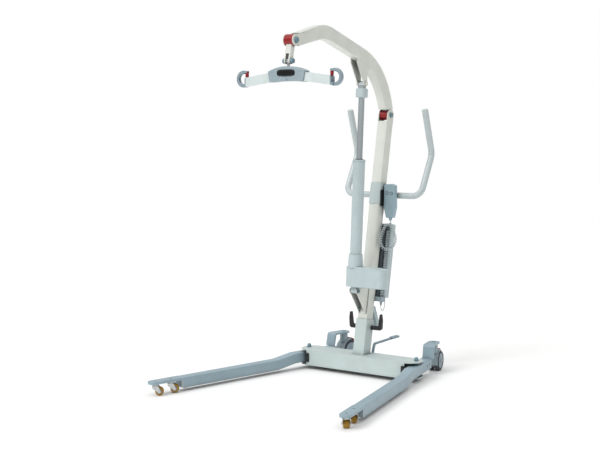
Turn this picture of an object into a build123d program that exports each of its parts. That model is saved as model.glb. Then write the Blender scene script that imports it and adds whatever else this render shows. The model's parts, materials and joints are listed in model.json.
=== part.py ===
"""Patient lift hoist: castor base with spreading legs, leaning mast, arched boom and sling bar.

Millimetres, +Z up. The legs and the boom point towards -Y and the push handle towards +Y.
The origin is on the floor in the middle of the footprint.
"""
from build123d import *
from math import atan, cos, degrees, radians, sin, sqrt, tan
import os

# ---- driving dimensions -------------------------------------------------------------------
clearance = 0.3            # between faces that slide or swing past each other
shaft_clearance = 0.05     # radial, pins in their bores

pivot_x = 308.4            # leg pivots, either side of the middle
pivot_y = 312.5            # leg pivots behind the middle of the footprint
splay = 12.39              # each leg, opened, in degrees

beam_depth, beam_low, beam_high, beam_wall = 123.0, 20.0, 98.0, 4.0
beam_length = 670.0        # over the rounded ends
beam_mid_y = pivot_y - 4.5
beam_front_half = 280.0    # half length of the front wall
beam_rear_half = 258.0     # half length of the rear wall, shorter to clear the legs

leg_width, leg_height, leg_wall = 51.0, 50.0, 3.0
leg_front_low = 15.0       # underside of the long front stretch
leg_rear_low = 32.0        # underside at the pivot
leg_front_length, leg_rear_length = 805.0, 170.0
nose_reach = 979.0
nose_low, nose_thick = 53.0, 12.0
front_castor_at = (946.0, 861.0)

bracket_out = 11.0         # rear castor bracket, outboard of the leg's centre line
bracket_width, bracket_plate, bracket_top = 56.0, 8.0, 147.0
rear_castor_at = 256.0     # behind the pivot

lean = 10.675              # mast, backwards from vertical, in degrees
mast_foot_y = pivot_y + 3
mast_width, mast_depth, mast_wall = 54.0, 57.0, 3.5
hinge_z = 1261.0
boom_width, boom_wall = 46.0, 3.5
boom_end_radius = 26.0
tip_half = 27.0             # half the width over the cheeks at the boom's tip

tip_y, tip_z = pivot_y - 588, 1583.0
link_length, link_lean = 93.0, 12.0

foot_y, foot_z = pivot_y - 63, 415.0      # lower pivot of the actuator
head_y, head_z = pivot_y - 2, 1410.0      # upper pivot of the actuator

spreader_z = 1418.0        # middle of the sling hooks
hook_x, hook_outer, hook_inner = 245.0, 38.0, 23.0

grip_radius = 15.5
lever_y, lever_z = pivot_y + 44, 224.0
cord_outer = 16.0

# ---- derived ------------------------------------------------------------------------------
lean_sin, lean_cos = sin(radians(lean)), cos(radians(lean))
hinge_y = mast_foot_y + (hinge_z - beam_high) * tan(radians(lean))
hinge_up = (hinge_z - beam_high) / lean_cos
link_y = tip_y - link_length * sin(radians(link_lean))
link_z = tip_z - link_length * cos(radians(link_lean))
actuator_length = sqrt((head_y - foot_y) ** 2 + (head_z - foot_z) ** 2)
actuator_lean = atan((head_y - foot_y) / (head_z - foot_z))
side_name = {1: "right", -1: "left"}

os.makedirs("parts", exist_ok=True)


def save(piece, name):
    """Label a finished piece and write it under its own name."""
    piece.part.label = name
    export_step(piece.part, f"parts/{name}.step")


def mast_point(along, back, across=0.0):
    """A point given along the mast's axis, behind it and to its right."""
    return (across, mast_foot_y + along * lean_sin + back * lean_cos,
            beam_high + along * lean_cos - back * lean_sin)


def mast_plane(along, back=0.0, across=0.0):
    """Square to the mast's axis: local x is +X and local y points to the back."""
    return Plane(origin=mast_point(along, back, across), x_dir=(1, 0, 0), z_dir=(0, lean_sin, lean_cos))


def mast_back(height, back):
    """The y of a point at a height, measured back from the mast's axis at that height."""
    return mast_foot_y + (height - beam_high) * tan(radians(lean)) + back


def side_plane(x):
    """Upright plane facing +X: local x is +Y and local y is +Z."""
    return Plane(origin=(x, 0, 0), x_dir=(0, 1, 0), z_dir=(1, 0, 0))


def post_plane(x, y):
    """Upright plane through a plan point: local x is +X and local y is +Z."""
    return Plane(origin=(x, y, 0), x_dir=(1, 0, 0), z_dir=(0, -1, 0))


def post_axis(x, y):
    return Axis((x, y, 0), (0, 0, 1))


def actuator_plane(along):
    """Square to the actuator, a distance above its lower pivot: local y points to the back."""
    a_sin, a_cos = sin(actuator_lean), cos(actuator_lean)
    return Plane(origin=(0, foot_y + along * a_sin, foot_z + along * a_cos),
                 x_dir=(1, 0, 0), z_dir=(0, a_sin, a_cos))


def leg_forward(side):
    return (side * sin(radians(splay)), -cos(radians(splay)), 0)


def leg_plan(side, z):
    """Level plane at a leg's pivot: local x runs forward, local y is outboard times side."""
    return Plane(origin=(side * pivot_x, pivot_y, z), x_dir=leg_forward(side), z_dir=(0, 0, 1))


def leg_upright(side, outboard):
    """Upright plane along a leg: local x runs forward, local y is up."""
    fx, fy, _ = leg_forward(side)
    origin = (side * pivot_x - fy * side * outboard, pivot_y + fx * side * outboard, 0)
    return Plane(origin=origin, x_dir=(fx, fy, 0), z_dir=(fy, -fx, 0))


def leg_point(side, forward, outboard=0.0):
    """Plan position of a point given along a leg and outboard of its centre line."""
    fx, fy, _ = leg_forward(side)
    return (side * pivot_x + forward * fx - fy * side * outboard,
            pivot_y + forward * fy + fx * side * outboard)


# ---- base: crossbeam and mast socket ------------------------------------------------------
with BuildPart() as crossbeam:
    with BuildSketch(Plane.XY.offset(beam_low)):
        with Locations((0, beam_mid_y)):
            RectangleRounded(beam_length, beam_depth, 54)
    extrude(amount=beam_high - beam_low)
    with BuildSketch(Plane.XY.offset(beam_low + beam_wall)):
        with Locations((0, beam_mid_y)):
            Rectangle(beam_length + 2, beam_depth - 2 * beam_wall)
    extrude(amount=beam_high - beam_low - 2 * beam_wall, mode=Mode.SUBTRACT)
    with BuildSketch(Plane.XY.offset(beam_low + beam_wall)):
        for side in (1, -1):
            with Locations((side * (beam_front_half + 50), beam_mid_y - beam_depth / 2)):
                Rectangle(100, 40)
            with Locations((side * (beam_rear_half + 50), beam_mid_y + beam_depth / 2)):
                Rectangle(100, 40)
    extrude(amount=beam_high - beam_low - 2 * beam_wall, mode=Mode.SUBTRACT)
    with BuildSketch(Plane.XY.offset(beam_low)):
        with Locations((pivot_x, pivot_y), (-pivot_x, pivot_y)):
            Circle(8 + shaft_clearance)
    extrude(amount=beam_high - beam_low, mode=Mode.SUBTRACT)
    # slot in the rear wall that the foot lever swings in
    with BuildSketch(Plane.XZ.offset(-(beam_mid_y + beam_depth / 2 - 10))):
        with Locations((0, 52)):
            Rectangle(42, 22)
    extrude(amount=-20, mode=Mode.SUBTRACT)
save(crossbeam, "crossbeam")

socket_top = 167 / lean_cos
with BuildPart() as mast_socket:
    with BuildSketch(mast_plane(-20)):
        RectangleRounded(64, 67, 5)
    extrude(amount=socket_top + 20)
    with BuildSketch(mast_plane(-20)):
        RectangleRounded(mast_width + 2 * clearance, mast_depth + 2 * clearance, 3.3)
    extrude(amount=socket_top + 30, mode=Mode.SUBTRACT)
    with BuildSketch(side_plane(-40)):
        with Locations((lever_y, lever_z)):
            Circle(6 + shaft_clearance)
    extrude(amount=80, mode=Mode.SUBTRACT)
    # the foot is cut level, where it is welded to the crossbeam
    with BuildSketch(Plane.XY.offset(beam_high)):
        with Locations((0, mast_foot_y)):
            Rectangle(120, 160)
    extrude(amount=-60, mode=Mode.SUBTRACT)
save(mast_socket, "mast_socket")

lever_pivot_y = beam_mid_y + 20
with BuildPart() as pivot_bolts:
    for side in (1, -1):
        x = side * pivot_x
        with BuildSketch(post_plane(x, pivot_y)):
            with BuildLine():
                Polyline((0, beam_low - 4), (11, beam_low - 4), (11, beam_low), (8, beam_low),
                         (8, beam_high), (10, beam_high), (10, beam_high + 9))
                CenterArc((0, beam_high + 9), 10, 0, 90)
                Line((0, beam_high + 19), (0, beam_low - 4))
            make_face()
        revolve(axis=post_axis(x, pivot_y))
        # thrust washers that carry the leg between the two plates
        for low, high in ((beam_low + beam_wall, leg_rear_low - clearance),
                          (leg_rear_low + leg_height + clearance, beam_high - beam_wall)):
            with BuildSketch(Plane.XY.offset(low)):
                with Locations((x, pivot_y)):
                    Circle(18)
                    Circle(8 + shaft_clearance, mode=Mode.SUBTRACT)
            extrude(amount=high - low)
    # post and collar that the foot lever turns on
    inside_low, inside_high = beam_low + beam_wall, beam_high - beam_wall
    with BuildSketch(Plane.XY.offset(inside_low)):
        with Locations((0, lever_pivot_y)):
            Circle(6)
    extrude(amount=inside_high - inside_low)
    with BuildSketch(Plane.XY.offset(inside_low)):
        with Locations((0, lever_pivot_y)):
            Circle(12)
    extrude(amount=46 - clearance - inside_low)
save(pivot_bolts, "pivot_bolts")

# ---- foot lever that swings sideways to spread the legs -----------------------------------
lever_way = (sin(radians(splay)), cos(radians(splay)), 0)      # swung to the right while the legs are open
lever_side = Plane(origin=(0, lever_pivot_y, 0), x_dir=lever_way, z_dir=(lever_way[1], -lever_way[0], 0))
with BuildPart() as foot_lever:
    with BuildSketch(Plane.XY.offset(46)):
        with Locations((0, lever_pivot_y)):
            Circle(14)
    extrude(amount=14)
    # flat bar that rises behind the crossbeam
    with BuildSketch(lever_side.offset(-5)):
        with BuildLine():
            FilletPolyline((8, 57), (57, 57), (77, 139), (240, 154), radius=[10, 16])
            Line((240, 154), (240, 145))
            FilletPolyline((240, 145), (85, 130), (64, 48), (8, 48), radius=[8, 18])
            Line((8, 48), (8, 57))
        make_face()
    extrude(amount=10)
    with BuildSketch(Plane.XY.offset(beam_low + beam_wall)):
        with Locations((0, lever_pivot_y)):
            Circle(6 + shaft_clearance)
    extrude(amount=60, mode=Mode.SUBTRACT)
    # flat tread on the end of the bar
    with BuildSketch(lever_side.offset(-11)):
        with BuildLine():
            Polyline((200, 153), (252, 157), (252, 147), (200, 143), close=True)
        make_face()
        fillet(vertices(), radius=3)
    extrude(amount=22)
save(foot_lever, "foot_lever")


# ---- legs ---------------------------------------------------------------------------------
joggle_near, joggle_far = 112.0, 227.0     # where the leg steps down, ahead of the pivot


def leg_outline(inset, front, rear):
    """Side view of the leg's tube, with its step, drawn in by an inset."""
    high = leg_height - inset
    FilletPolyline((-rear, leg_rear_low + high), (joggle_near, leg_rear_low + high),
                   (joggle_far, leg_front_low + high), (front, leg_front_low + high), radius=120)
    Line((front, leg_front_low + high), (front, leg_front_low + inset))
    FilletPolyline((front, leg_front_low + inset), (joggle_far, leg_front_low + inset),
                   (joggle_near, leg_rear_low + inset), (-rear, leg_rear_low + inset), radius=120)
    Line((-rear, leg_rear_low + inset), (-rear, leg_rear_low + high))


for side in (1, -1):
    with BuildPart() as leg:
        with BuildSketch(leg_upright(side, -leg_width / 2)):
            with BuildLine():
                leg_outline(0, leg_front_length, leg_rear_length)
            make_face()
        extrude(amount=side * -leg_width)
        fillet(leg.edges().filter_by(lambda e: e.length > 60), radius=5)
        with BuildSketch(leg_upright(side, -leg_width / 2 + leg_wall)):
            with BuildLine():
                leg_outline(leg_wall, leg_front_length + 1, leg_rear_length + 1)
            make_face()
        extrude(amount=side * -(leg_width - 2 * leg_wall), mode=Mode.SUBTRACT)
        # nose plate that the front castors turn in
        with BuildSketch(leg_plan(side, nose_low)):
            with Locations(((nose_reach + leg_front_length - 2) / 2 + 1, 0)):
                Rectangle(nose_reach - leg_front_length + 2, leg_width)
            fillet(vertices().group_by(Axis.X)[-1], radius=20)
        extrude(amount=nose_thick)
        with BuildSketch(leg_plan(side, nose_low)):
            with Locations((leg_front_length - 20, 0)):
                Rectangle(60, leg_width - 2 * leg_wall)
        extrude(amount=leg_front_low + leg_height - leg_wall - nose_low)
        # bearing tube for the pivot bolt
        with BuildSketch(leg_plan(side, leg_rear_low + 0.5)):
            Circle(16)
        extrude(amount=leg_height - 1)
        with BuildSketch(leg_plan(side, 0)):
            Circle(8 + shaft_clearance)
            with Locations(*[(at, 0) for at in front_castor_at]):
                Circle(5 + shaft_clearance)
        extrude(amount=140, mode=Mode.SUBTRACT)
    save(leg, f"leg_{side_name[side]}")

    with BuildPart() as end_plug:
        with BuildSketch(leg_plan(side, leg_front_low + leg_wall)):
            with Locations((leg_front_length - 10, 0)):
                Rectangle(20, leg_width - 2 * leg_wall)
        extrude(amount=nose_low - leg_front_low - leg_wall)
        with BuildSketch(leg_upright(side, -leg_width / 2)):
            with BuildLine():
                Polyline((leg_front_length, leg_front_low), (leg_front_length + 14, leg_front_low + 9),
                         (leg_front_length + 14, nose_low), (leg_front_length, nose_low), close=True)
            make_face()
        extrude(amount=side * -leg_width)
    save(end_plug, f"leg_end_plug_{side_name[side]}")

    with BuildPart() as castor_bracket:
        front, back = -155.0, -(rear_castor_at + 26)
        with BuildSketch(leg_upright(side, bracket_out - bracket_width / 2)):
            with BuildLine():
                FilletPolyline((front, leg_rear_low + leg_height), (front - 12, bracket_top),
                               (back, bracket_top), radius=14)
                Line((back, bracket_top), (back, bracket_top - bracket_plate))
                FilletPolyline((back, bracket_top - bracket_plate),
                               (front - 12 - bracket_plate, bracket_top - bracket_plate),
                               (front - bracket_plate - 1, leg_rear_low + leg_height), radius=6)
                Line((front - bracket_plate - 1, leg_rear_low + leg_height),
                     (front, leg_rear_low + leg_height))
            make_face()
        extrude(amount=side * -bracket_width)
        fillet(castor_bracket.edges().filter_by(Axis.Z)
               .group_by(Axis((0, 0, 0), leg_forward(side)))[0], radius=22)
        with BuildSketch(leg_plan(side, bracket_top - 20)):
            with Locations((-rear_castor_at, side * bracket_out)):
                Circle(6 + shaft_clearance)
        extrude(amount=40, mode=Mode.SUBTRACT)
        # cap over the end of the castor stem
        with BuildSketch(leg_plan(side, bracket_top)):
            with Locations((-rear_castor_at, side * bracket_out)):
                Circle(9)
        extrude(amount=2.5)
        # screw heads that hold the bracket to the leg
        with BuildSketch(leg_upright(side, leg_width / 2)):
            with Locations((-100, 57), (-140, 57)):
                Circle(5)
        extrude(amount=side * -2)
    save(castor_bracket, f"castor_bracket_{side_name[side]}")


# ---- front castors, two in line under each nose -------------------------------------------
front_wheel_radius, front_wheel_width, front_trail = 20.0, 28.0, 18.0
trail_turn = {1: 125.2, -1: 34.8}          # plan bearing that each pair trails towards


def castor_frame(x, y, bearing):
    """Upright plane through a castor's swivel axis: local x runs to the wheel, local y is up."""
    tx, ty = cos(radians(bearing)), sin(radians(bearing))
    return Plane(origin=(x, y, 0), x_dir=(tx, ty, 0), z_dir=(ty, -tx, 0))


for side in (1, -1):
    for place, at in zip(("tip", "mid"), front_castor_at):
        x, y = leg_point(side, at)
        frame = castor_frame(x, y, trail_turn[side])
        axle = (front_trail, front_wheel_radius)
        wheel_plane = Plane(origin=frame.from_local_coords((*axle, 0)), x_dir=frame.z_dir,
                            z_dir=-Vector(frame.x_dir))
        wheel_axis = Axis(wheel_plane.origin, frame.z_dir)
        with BuildPart() as castor_wheel:
            half, crown = front_wheel_width / 2, 2.0
            with BuildSketch(wheel_plane):
                with BuildLine():
                    Polyline((-half, front_wheel_radius - crown), (-half, 4 + shaft_clearance),
                             (half, 4 + shaft_clearance), (half, front_wheel_radius - crown))
                    ThreePointArc((half, front_wheel_radius - crown), (0, front_wheel_radius),
                                  (-half, front_wheel_radius - crown))
                make_face()
                fillet(vertices().group_by(Axis.Y)[-1], radius=4)
            revolve(axis=wheel_axis)
        save(castor_wheel, f"front_castor_wheel_{place}_{side_name[side]}")

        with BuildPart() as castor_fork:
            inner = front_wheel_width / 2 + 1.2
            crown_low = 2 * front_wheel_radius + 2.5
            for hand in (1, -1):
                with BuildSketch(frame.offset(hand * inner)):
                    with BuildLine():
                        Polyline((-13, crown_low), (15, crown_low), (axle[0] + 8, axle[1] + 2))
                        ThreePointArc((axle[0] + 8, axle[1] + 2), (axle[0] + 2, axle[1] - 8),
                                      (axle[0] - 7, axle[1] - 4))
                        Polyline((axle[0] - 7, axle[1] - 4), (-13, crown_low - 8), (-13, crown_low))
                    make_face()
                extrude(amount=hand * 2.4)
            with BuildSketch(Plane.XY.offset(crown_low)):
                with Locations(Location((x, y), trail_turn[side])):
                    Rectangle(28, 2 * inner + 4.8)
            extrude(amount=2.5)
            # swivel race, then the stem inside the nose plate
            with BuildSketch(Plane.XY.offset(crown_low + 2.5)):
                with Locations((x, y)):
                    Circle(14)
            extrude(amount=nose_low - crown_low - 2.5 - clearance)
            with BuildSketch(Plane.XY.offset(crown_low)):
                with Locations((x, y)):
                    Circle(5)
            extrude(amount=nose_low + nose_thick - 2 - crown_low)
            with BuildSketch(frame.offset(-inner - 2)):
                with Locations(axle):
                    Circle(4)
            extrude(amount=2 * inner + 4)
            for hand in (1, -1):
                with BuildSketch(frame.offset(hand * (inner + 2.4))):
                    with Locations(axle):
                        RegularPolygon(6, 6)
                extrude(amount=hand * 2.4)
        save(castor_fork, f"front_castor_fork_{place}_{side_name[side]}")


# ---- rear castors with twin wheels and a red brake pedal ----------------------------------
rear_wheel_radius, rear_wheel_width, rear_gap, rear_trail = 50.0, 25.0, 7.0, 27.0
for side in (1, -1):
    x, y = leg_point(side, -rear_castor_at, bracket_out)
    bearing = 90 + side * splay
    frame = castor_frame(x, y, bearing)
    axle = (rear_trail, rear_wheel_radius)
    wheel_plane = Plane(origin=frame.from_local_coords((*axle, 0)), x_dir=frame.z_dir,
                        z_dir=-Vector(frame.x_dir))
    wheel_axis = Axis(wheel_plane.origin, frame.z_dir)
    with BuildPart() as rear_wheels:
        for hand in (1, -1):
            near, far = hand * rear_gap, hand * (rear_gap + rear_wheel_width)
            with BuildSketch(wheel_plane):
                with BuildLine():
                    Polyline((near, 5 + shaft_clearance), (near, rear_wheel_radius - 2),
                             (near + hand * 2, rear_wheel_radius), (far - hand * 11, rear_wheel_radius))
                    ThreePointArc((far - hand * 11, rear_wheel_radius),
                                  (far - hand * 4, rear_wheel_radius - 3.6),
                                  (far - hand * 1, rear_wheel_radius - 11))
                    Polyline((far - hand * 1, rear_wheel_radius - 11),
                             (far - hand * 4, rear_wheel_radius - 14),
                             (far, 13), (far, 5 + shaft_clearance), (near, 5 + shaft_clearance))
                make_face()
            revolve(axis=wheel_axis)
    save(rear_wheels, f"rear_castor_wheels_{side_name[side]}")

    hood_inner, hood_outer = rear_wheel_radius + 3, rear_wheel_radius + 6.5
    with BuildPart() as castor_housing:
        # web between the wheels
        with BuildSketch(frame.offset(-5)):
            with BuildLine():
                Polyline((axle[0] + 13, axle[1] - 13), (axle[0] + 13, axle[1] + 18), (axle[0] - 4, 98),
                         (-20, 108), (-20, 78), (axle[0] - 24, axle[1] - 12), (axle[0] - 8, axle[1] - 20),
                         close=True)
            make_face()
        extrude(amount=10)
        # hood over the front of both wheels
        with BuildSketch(frame.offset(-28)):
            with BuildLine():
                start, stop = 86.0, 196.0
                CenterArc(axle, hood_outer, start, stop - start)
                CenterArc(axle, hood_inner, start, stop - start)
                for angle in (start, stop):
                    c, s = cos(radians(angle)), sin(radians(angle))
                    Line((axle[0] + hood_inner * c, axle[1] + hood_inner * s),
                         (axle[0] + hood_outer * c, axle[1] + hood_outer * s))
            make_face()
        extrude(amount=56)
        # boss and stem that turn in the bracket
        with BuildSketch(Plane.XY.offset(92)):
            with Locations((x, y)):
                Circle(21)
        extrude(amount=bracket_top - bracket_plate - clearance - 92, taper=2)
        # room for the wheels inside the hood
        wheel_room = Plane(origin=wheel_plane.origin, x_dir=frame.x_dir, z_dir=frame.z_dir)
        for hand in (1, -1):
            with BuildSketch(wheel_room.offset(hand * 5)):
                Circle(hood_inner)
            extrude(amount=hand * 30, mode=Mode.SUBTRACT)
        with BuildSketch(wheel_room.offset(-rear_gap - rear_wheel_width - 1)):
            Circle(5)
        extrude(amount=2 * (rear_gap + rear_wheel_width + 1))
        for hand in (1, -1):
            with BuildSketch(wheel_room.offset(hand * (rear_gap + rear_wheel_width + 0.4))):
                Circle(9)
            extrude(amount=hand * 3, taper=15)
        with BuildSketch(Plane.XY.offset(110)):
            with Locations((x, y)):
                Circle(6)
        extrude(amount=bracket_top - 0.5 - 110)
    save(castor_housing, f"rear_castor_housing_{side_name[side]}")

    with BuildPart() as brake_pedal:
        with BuildSketch(frame.offset(-4)):
            with BuildLine():
                Polyline((axle[0] + 18, axle[1] - 8), (axle[0] + 44, axle[1] - 4),
                         (axle[0] + 44, axle[1] + 26),
                         (axle[0] + 24, axle[1] + 49), (axle[0] + 8, axle[1] + 59),
                         (axle[0] + 7, axle[1] + 53),
                         (axle[0] + 18, axle[1] + 40), close=True)
            make_face()
        extrude(amount=8)
        with BuildSketch(frame.offset(-20)):
            with BuildLine():
                Polyline((axle[0] + 12, axle[1] + 53), (axle[0] + 13, axle[1] + 59),
                         (axle[0] + 26, axle[1] + 52),
                         (axle[0] + 52, axle[1] + 29), (axle[0] + 48, axle[1] + 25),
                         (axle[0] + 26, axle[1] + 46),
                         close=True)
            make_face()
        extrude(amount=40)
        with BuildSketch(wheel_room.offset(-30)):
            Circle(rear_wheel_radius + 1.2)
        # the pad stays above the treads and only the blade passes between the wheels
        extrude(amount=30 - 4, mode=Mode.SUBTRACT)
        with BuildSketch(wheel_room.offset(4)):
            Circle(rear_wheel_radius + 1.2)
        extrude(amount=26, mode=Mode.SUBTRACT)
    save(brake_pedal, f"brake_pedal_{side_name[side]}")


# ---- clamp levers that lock the mast in its socket ----------------------------------------
for side in (1, -1):
    with BuildPart() as clamp_lever:
        lever_plane = Plane(origin=(0, lever_y, 0), x_dir=(1, 0, 0), z_dir=(0, -1, 0))
        with BuildSketch(lever_plane.offset(-8)):
            with BuildLine():
                Polyline((side * 52, lever_z - 9), (side * 84, lever_z - 9), (side * 91, lever_z),
                         (side * 93, lever_z + 40), (side * 89, lever_z + 70), (side * 82, lever_z + 70),
                         (side * 78, lever_z + 40), (side * 74, lever_z + 11), (side * 52, lever_z + 9),
                         close=True)
            make_face()
        extrude(amount=16)
        fillet(clamp_lever.edges().filter_by(Axis.Y), radius=3)
        with BuildSketch(side_plane(side * (32 + clearance))):
            with Locations((lever_y, lever_z)):
                Circle(11)
        extrude(amount=side * 24)
        with BuildSketch(side_plane(side * (mast_width / 2 + 2 * clearance))):
            with Locations((lever_y, lever_z)):
                Circle(6)
        extrude(amount=side * 12)
    save(clamp_lever, f"clamp_lever_{side_name[side]}")

# ---- mast ---------------------------------------------------------------------------------
mast_bottom = 6.0
tube_top = hinge_up - 34
hinge_bore, hinge_pin = 8.0, 8.0 - shaft_clearance
ear_gap = boom_width / 2 + clearance
hinge_at = (hinge_y, hinge_z)

with BuildPart() as mast:
    with BuildSketch(mast_plane(mast_bottom)):
        RectangleRounded(mast_width, mast_depth, 3)
    extrude(amount=tube_top - mast_bottom)
    with BuildSketch(mast_plane(mast_bottom)):
        RectangleRounded(mast_width - 2 * mast_wall, mast_depth - 2 * mast_wall, 2)
    extrude(amount=tube_top - 6 - mast_bottom, mode=Mode.SUBTRACT)
    # two round ears that hold the boom
    ear_frame = Plane(origin=mast_point(hinge_up, 0), x_dir=(0, lean_cos, -lean_sin), z_dir=(1, 0, 0))
    ear_thick = mast_width / 2 - ear_gap
    for across in (ear_gap, -mast_width / 2):
        with BuildSketch(ear_frame.offset(across)):
            Circle(mast_depth / 2)
            with Locations((0, -20)):
                Rectangle(mast_depth, 40)
            Circle(hinge_bore + shaft_clearance, mode=Mode.SUBTRACT)
        extrude(amount=ear_thick)
    with BuildSketch(ear_frame.offset(-ear_gap)):
        Circle(boom_end_radius + 2)
    extrude(amount=2 * ear_gap, mode=Mode.SUBTRACT)
save(mast, "mast")

with BuildPart() as boom_hinge_pin:
    with BuildSketch(side_plane(-mast_width / 2 - 1)):
        with Locations(hinge_at):
            Circle(hinge_pin)
    extrude(amount=mast_width + 2)
    for hand in (1, -1):
        with BuildSketch(side_plane(hand * mast_width / 2)):
            with Locations(hinge_at):
                Circle(12.5)
                Circle(hinge_pin, mode=Mode.SUBTRACT)
        extrude(amount=hand * 1)
        with BuildSketch(side_plane(hand * (mast_width / 2 + 1))):
            with Locations(hinge_at):
                Circle(12.5)
        extrude(amount=hand * 7, taper=12)
save(boom_hinge_pin, "boom_hinge_pin")

plate_out, plate_in = 20.0, 16.0            # cheeks of both actuator brackets
foot_radius = 15.0
mast_front_low, mast_front_high = 293.0, 432.0


def mast_front(height):
    return mast_back(height, -mast_depth / 2 / lean_cos)


with BuildPart() as foot_bracket:
    for across in (plate_in, -plate_out):
        with BuildSketch(side_plane(across)):
            with BuildLine():
                Polyline((mast_front(mast_front_low), mast_front_low),
                         (mast_front(mast_front_high), mast_front_high),
                         (foot_y, foot_z + foot_radius), (foot_y - foot_radius, foot_z),
                         (mast_front(mast_front_low), mast_front_low))
            make_face()
            with Locations((foot_y, foot_z)):
                Circle(foot_radius)
                Circle(6 + shaft_clearance, mode=Mode.SUBTRACT)
        extrude(amount=plate_out - plate_in)
    with BuildSketch(side_plane(-plate_in)):
        with BuildLine():
            Polyline((mast_front(mast_front_low), mast_front_low),
                     (mast_front(mast_front_high), mast_front_high),
                     (mast_front(mast_front_high) - 4, mast_front_high),
                     (mast_front(mast_front_low + 8) - 4, mast_front_low + 8), close=True)
        make_face()
    extrude(amount=2 * plate_in)
save(foot_bracket, "actuator_foot_bracket")

with BuildPart() as foot_pin:
    with BuildSketch(side_plane(-plate_out - 2)):
        with Locations((foot_y, foot_z)):
            Circle(6)
    extrude(amount=2 * plate_out + 4)
    for hand in (1, -1):
        with BuildSketch(side_plane(hand * plate_out)):
            with Locations((foot_y, foot_z)):
                Circle(9.5)
                Circle(6, mode=Mode.SUBTRACT)
        extrude(amount=hand * 5)
        # lower fixing screws of the bracket
        with BuildSketch(side_plane(hand * plate_in)):
            with Locations((mast_front(318) - 11, 318)):
                Circle(5)
        extrude(amount=hand * -5)
save(foot_pin, "actuator_foot_pin")

# push handle: one bent tube behind the mast
grip_y, grip_z, grip_x = pivot_y + 193.5, 866.0, 215.0
knee = (pivot_y + 304, 1069.0)
grip_end = (pivot_y + 230, 1285.0)
handle_points = [(-grip_x, *grip_end), (-grip_x, *knee), (-grip_x, grip_y, grip_z),
                 (grip_x, grip_y, grip_z), (grip_x, *knee), (grip_x, *grip_end)]
handle_bends = [62, 46, 46, 62]
handle_end_way = Vector(0, grip_end[0] - knee[0], grip_end[1] - knee[1]).normalized()
with BuildPart() as handlebar:
    with BuildLine() as handle_path:
        FilletPolyline(*handle_points, radius=handle_bends)
    with BuildSketch(Plane(origin=handle_points[0], x_dir=(1, 0, 0), z_dir=-handle_end_way)):
        Circle(grip_radius)
        Circle(grip_radius - 2, mode=Mode.SUBTRACT)
    sweep()
    for side in (1, -1):
        end = (side * grip_x, *grip_end)
        with BuildSketch(Plane(origin=end, x_dir=(1, 0, 0), z_dir=handle_end_way)):
            Circle(grip_radius - 1.5)
        extrude(amount=3, taper=30)
        with BuildSketch(Plane(origin=end, x_dir=(1, 0, 0), z_dir=-handle_end_way)):
            Circle(grip_radius - 2)
        extrude(amount=14)
save(handlebar, "handlebar")

clamp_along = (grip_z + (grip_y - mast_foot_y) * tan(radians(lean)) - beam_high) * lean_cos
with BuildPart() as handle_clamp:
    wrap = 2.5
    rear = (grip_y - mast_foot_y) * lean_cos - (grip_z - beam_high) * lean_sin + grip_radius + 6
    with BuildSketch(mast_plane(clamp_along - 52)):
        with Locations((0, (rear - mast_depth / 2 - wrap) / 2)):
            RectangleRounded(mast_width + 2 * wrap, rear + mast_depth / 2 + wrap, 4)
        RectangleRounded(mast_width, mast_depth, 3, mode=Mode.SUBTRACT)
    extrude(amount=104)
    with BuildSketch(side_plane(-40)):
        with Locations((grip_y, grip_z)):
            Circle(grip_radius)
    extrude(amount=80, mode=Mode.SUBTRACT)
    # the saddle behind is only as tall as the tube needs
    for start, step in ((24, 40), (-24, -40)):
        with BuildSketch(mast_plane(clamp_along + start)):
            with Locations((0, mast_depth / 2 + 4 + 40)):
                Rectangle(80, 80)
        extrude(amount=step, mode=Mode.SUBTRACT)
save(handle_clamp, "handle_clamp")

# control box and battery on the back of the mast
box_low, box_high = 285.0, 650.0            # along the mast
box_near = mast_depth / 2
peg_y, peg_z = pivot_y + 153, 705.0
with BuildPart() as control_box:
    with BuildSketch(mast_plane(box_low, box_near + 18)):
        RectangleRounded(80, 30, 5)
    extrude(amount=box_high - box_low - 14)
    # mounting rail against the mast
    with BuildSketch(mast_plane(box_low + 30, box_near + 1.5)):
        Rectangle(34, 3)
    extrude(amount=box_high - box_low - 80)
    # peg that the curly cord hangs over
    with BuildSketch(side_plane(38)):
        with Locations((peg_y, peg_z)):
            Circle(8.5)
    extrude(amount=23)
save(control_box, "control_box")

battery_near = box_near + 33.5
with BuildPart() as battery_pack:
    with BuildSketch(mast_plane(box_low, battery_near + 21.5)):
        RectangleRounded(124, 43, 9)
    extrude(amount=box_high - box_low)
    fillet(battery_pack.faces().sort_by(Axis.Z)[-1].edges(), radius=5)
    # finger grip across the back
    with BuildSketch(mast_plane(box_high - 62, battery_near + 43)):
        RectangleRounded(70, 16, 6)
    extrude(amount=26, mode=Mode.SUBTRACT)
    # well of the emergency stop
    stop_plane = Plane(origin=mast_point(box_low + 70, battery_near + 43), x_dir=(1, 0, 0),
                       z_dir=(0, lean_cos, -lean_sin))
    with BuildSketch(stop_plane):
        Circle(7 + clearance)
    extrude(amount=-6.5, mode=Mode.SUBTRACT)
save(battery_pack, "battery_pack")

with BuildPart() as emergency_stop:
    with BuildSketch(stop_plane.offset(-1.5)):
        Circle(7)
    extrude(amount=9.5)
    with BuildSketch(stop_plane.offset(8)):
        Circle(13)
    extrude(amount=8, taper=14)
save(emergency_stop, "emergency_stop")

block_x = 42.0
with BuildPart() as connector_block:
    with BuildSketch(mast_plane(262, box_near + 19, block_x)):
        RectangleRounded(40, 37, 3)
    extrude(amount=box_low - 262)
    # gland that the motor lead leaves by
    with BuildSketch(mast_plane(262, 52, 50)):
        Circle(7)
    extrude(amount=-17, taper=9)
save(connector_block, "connector_block")

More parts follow.
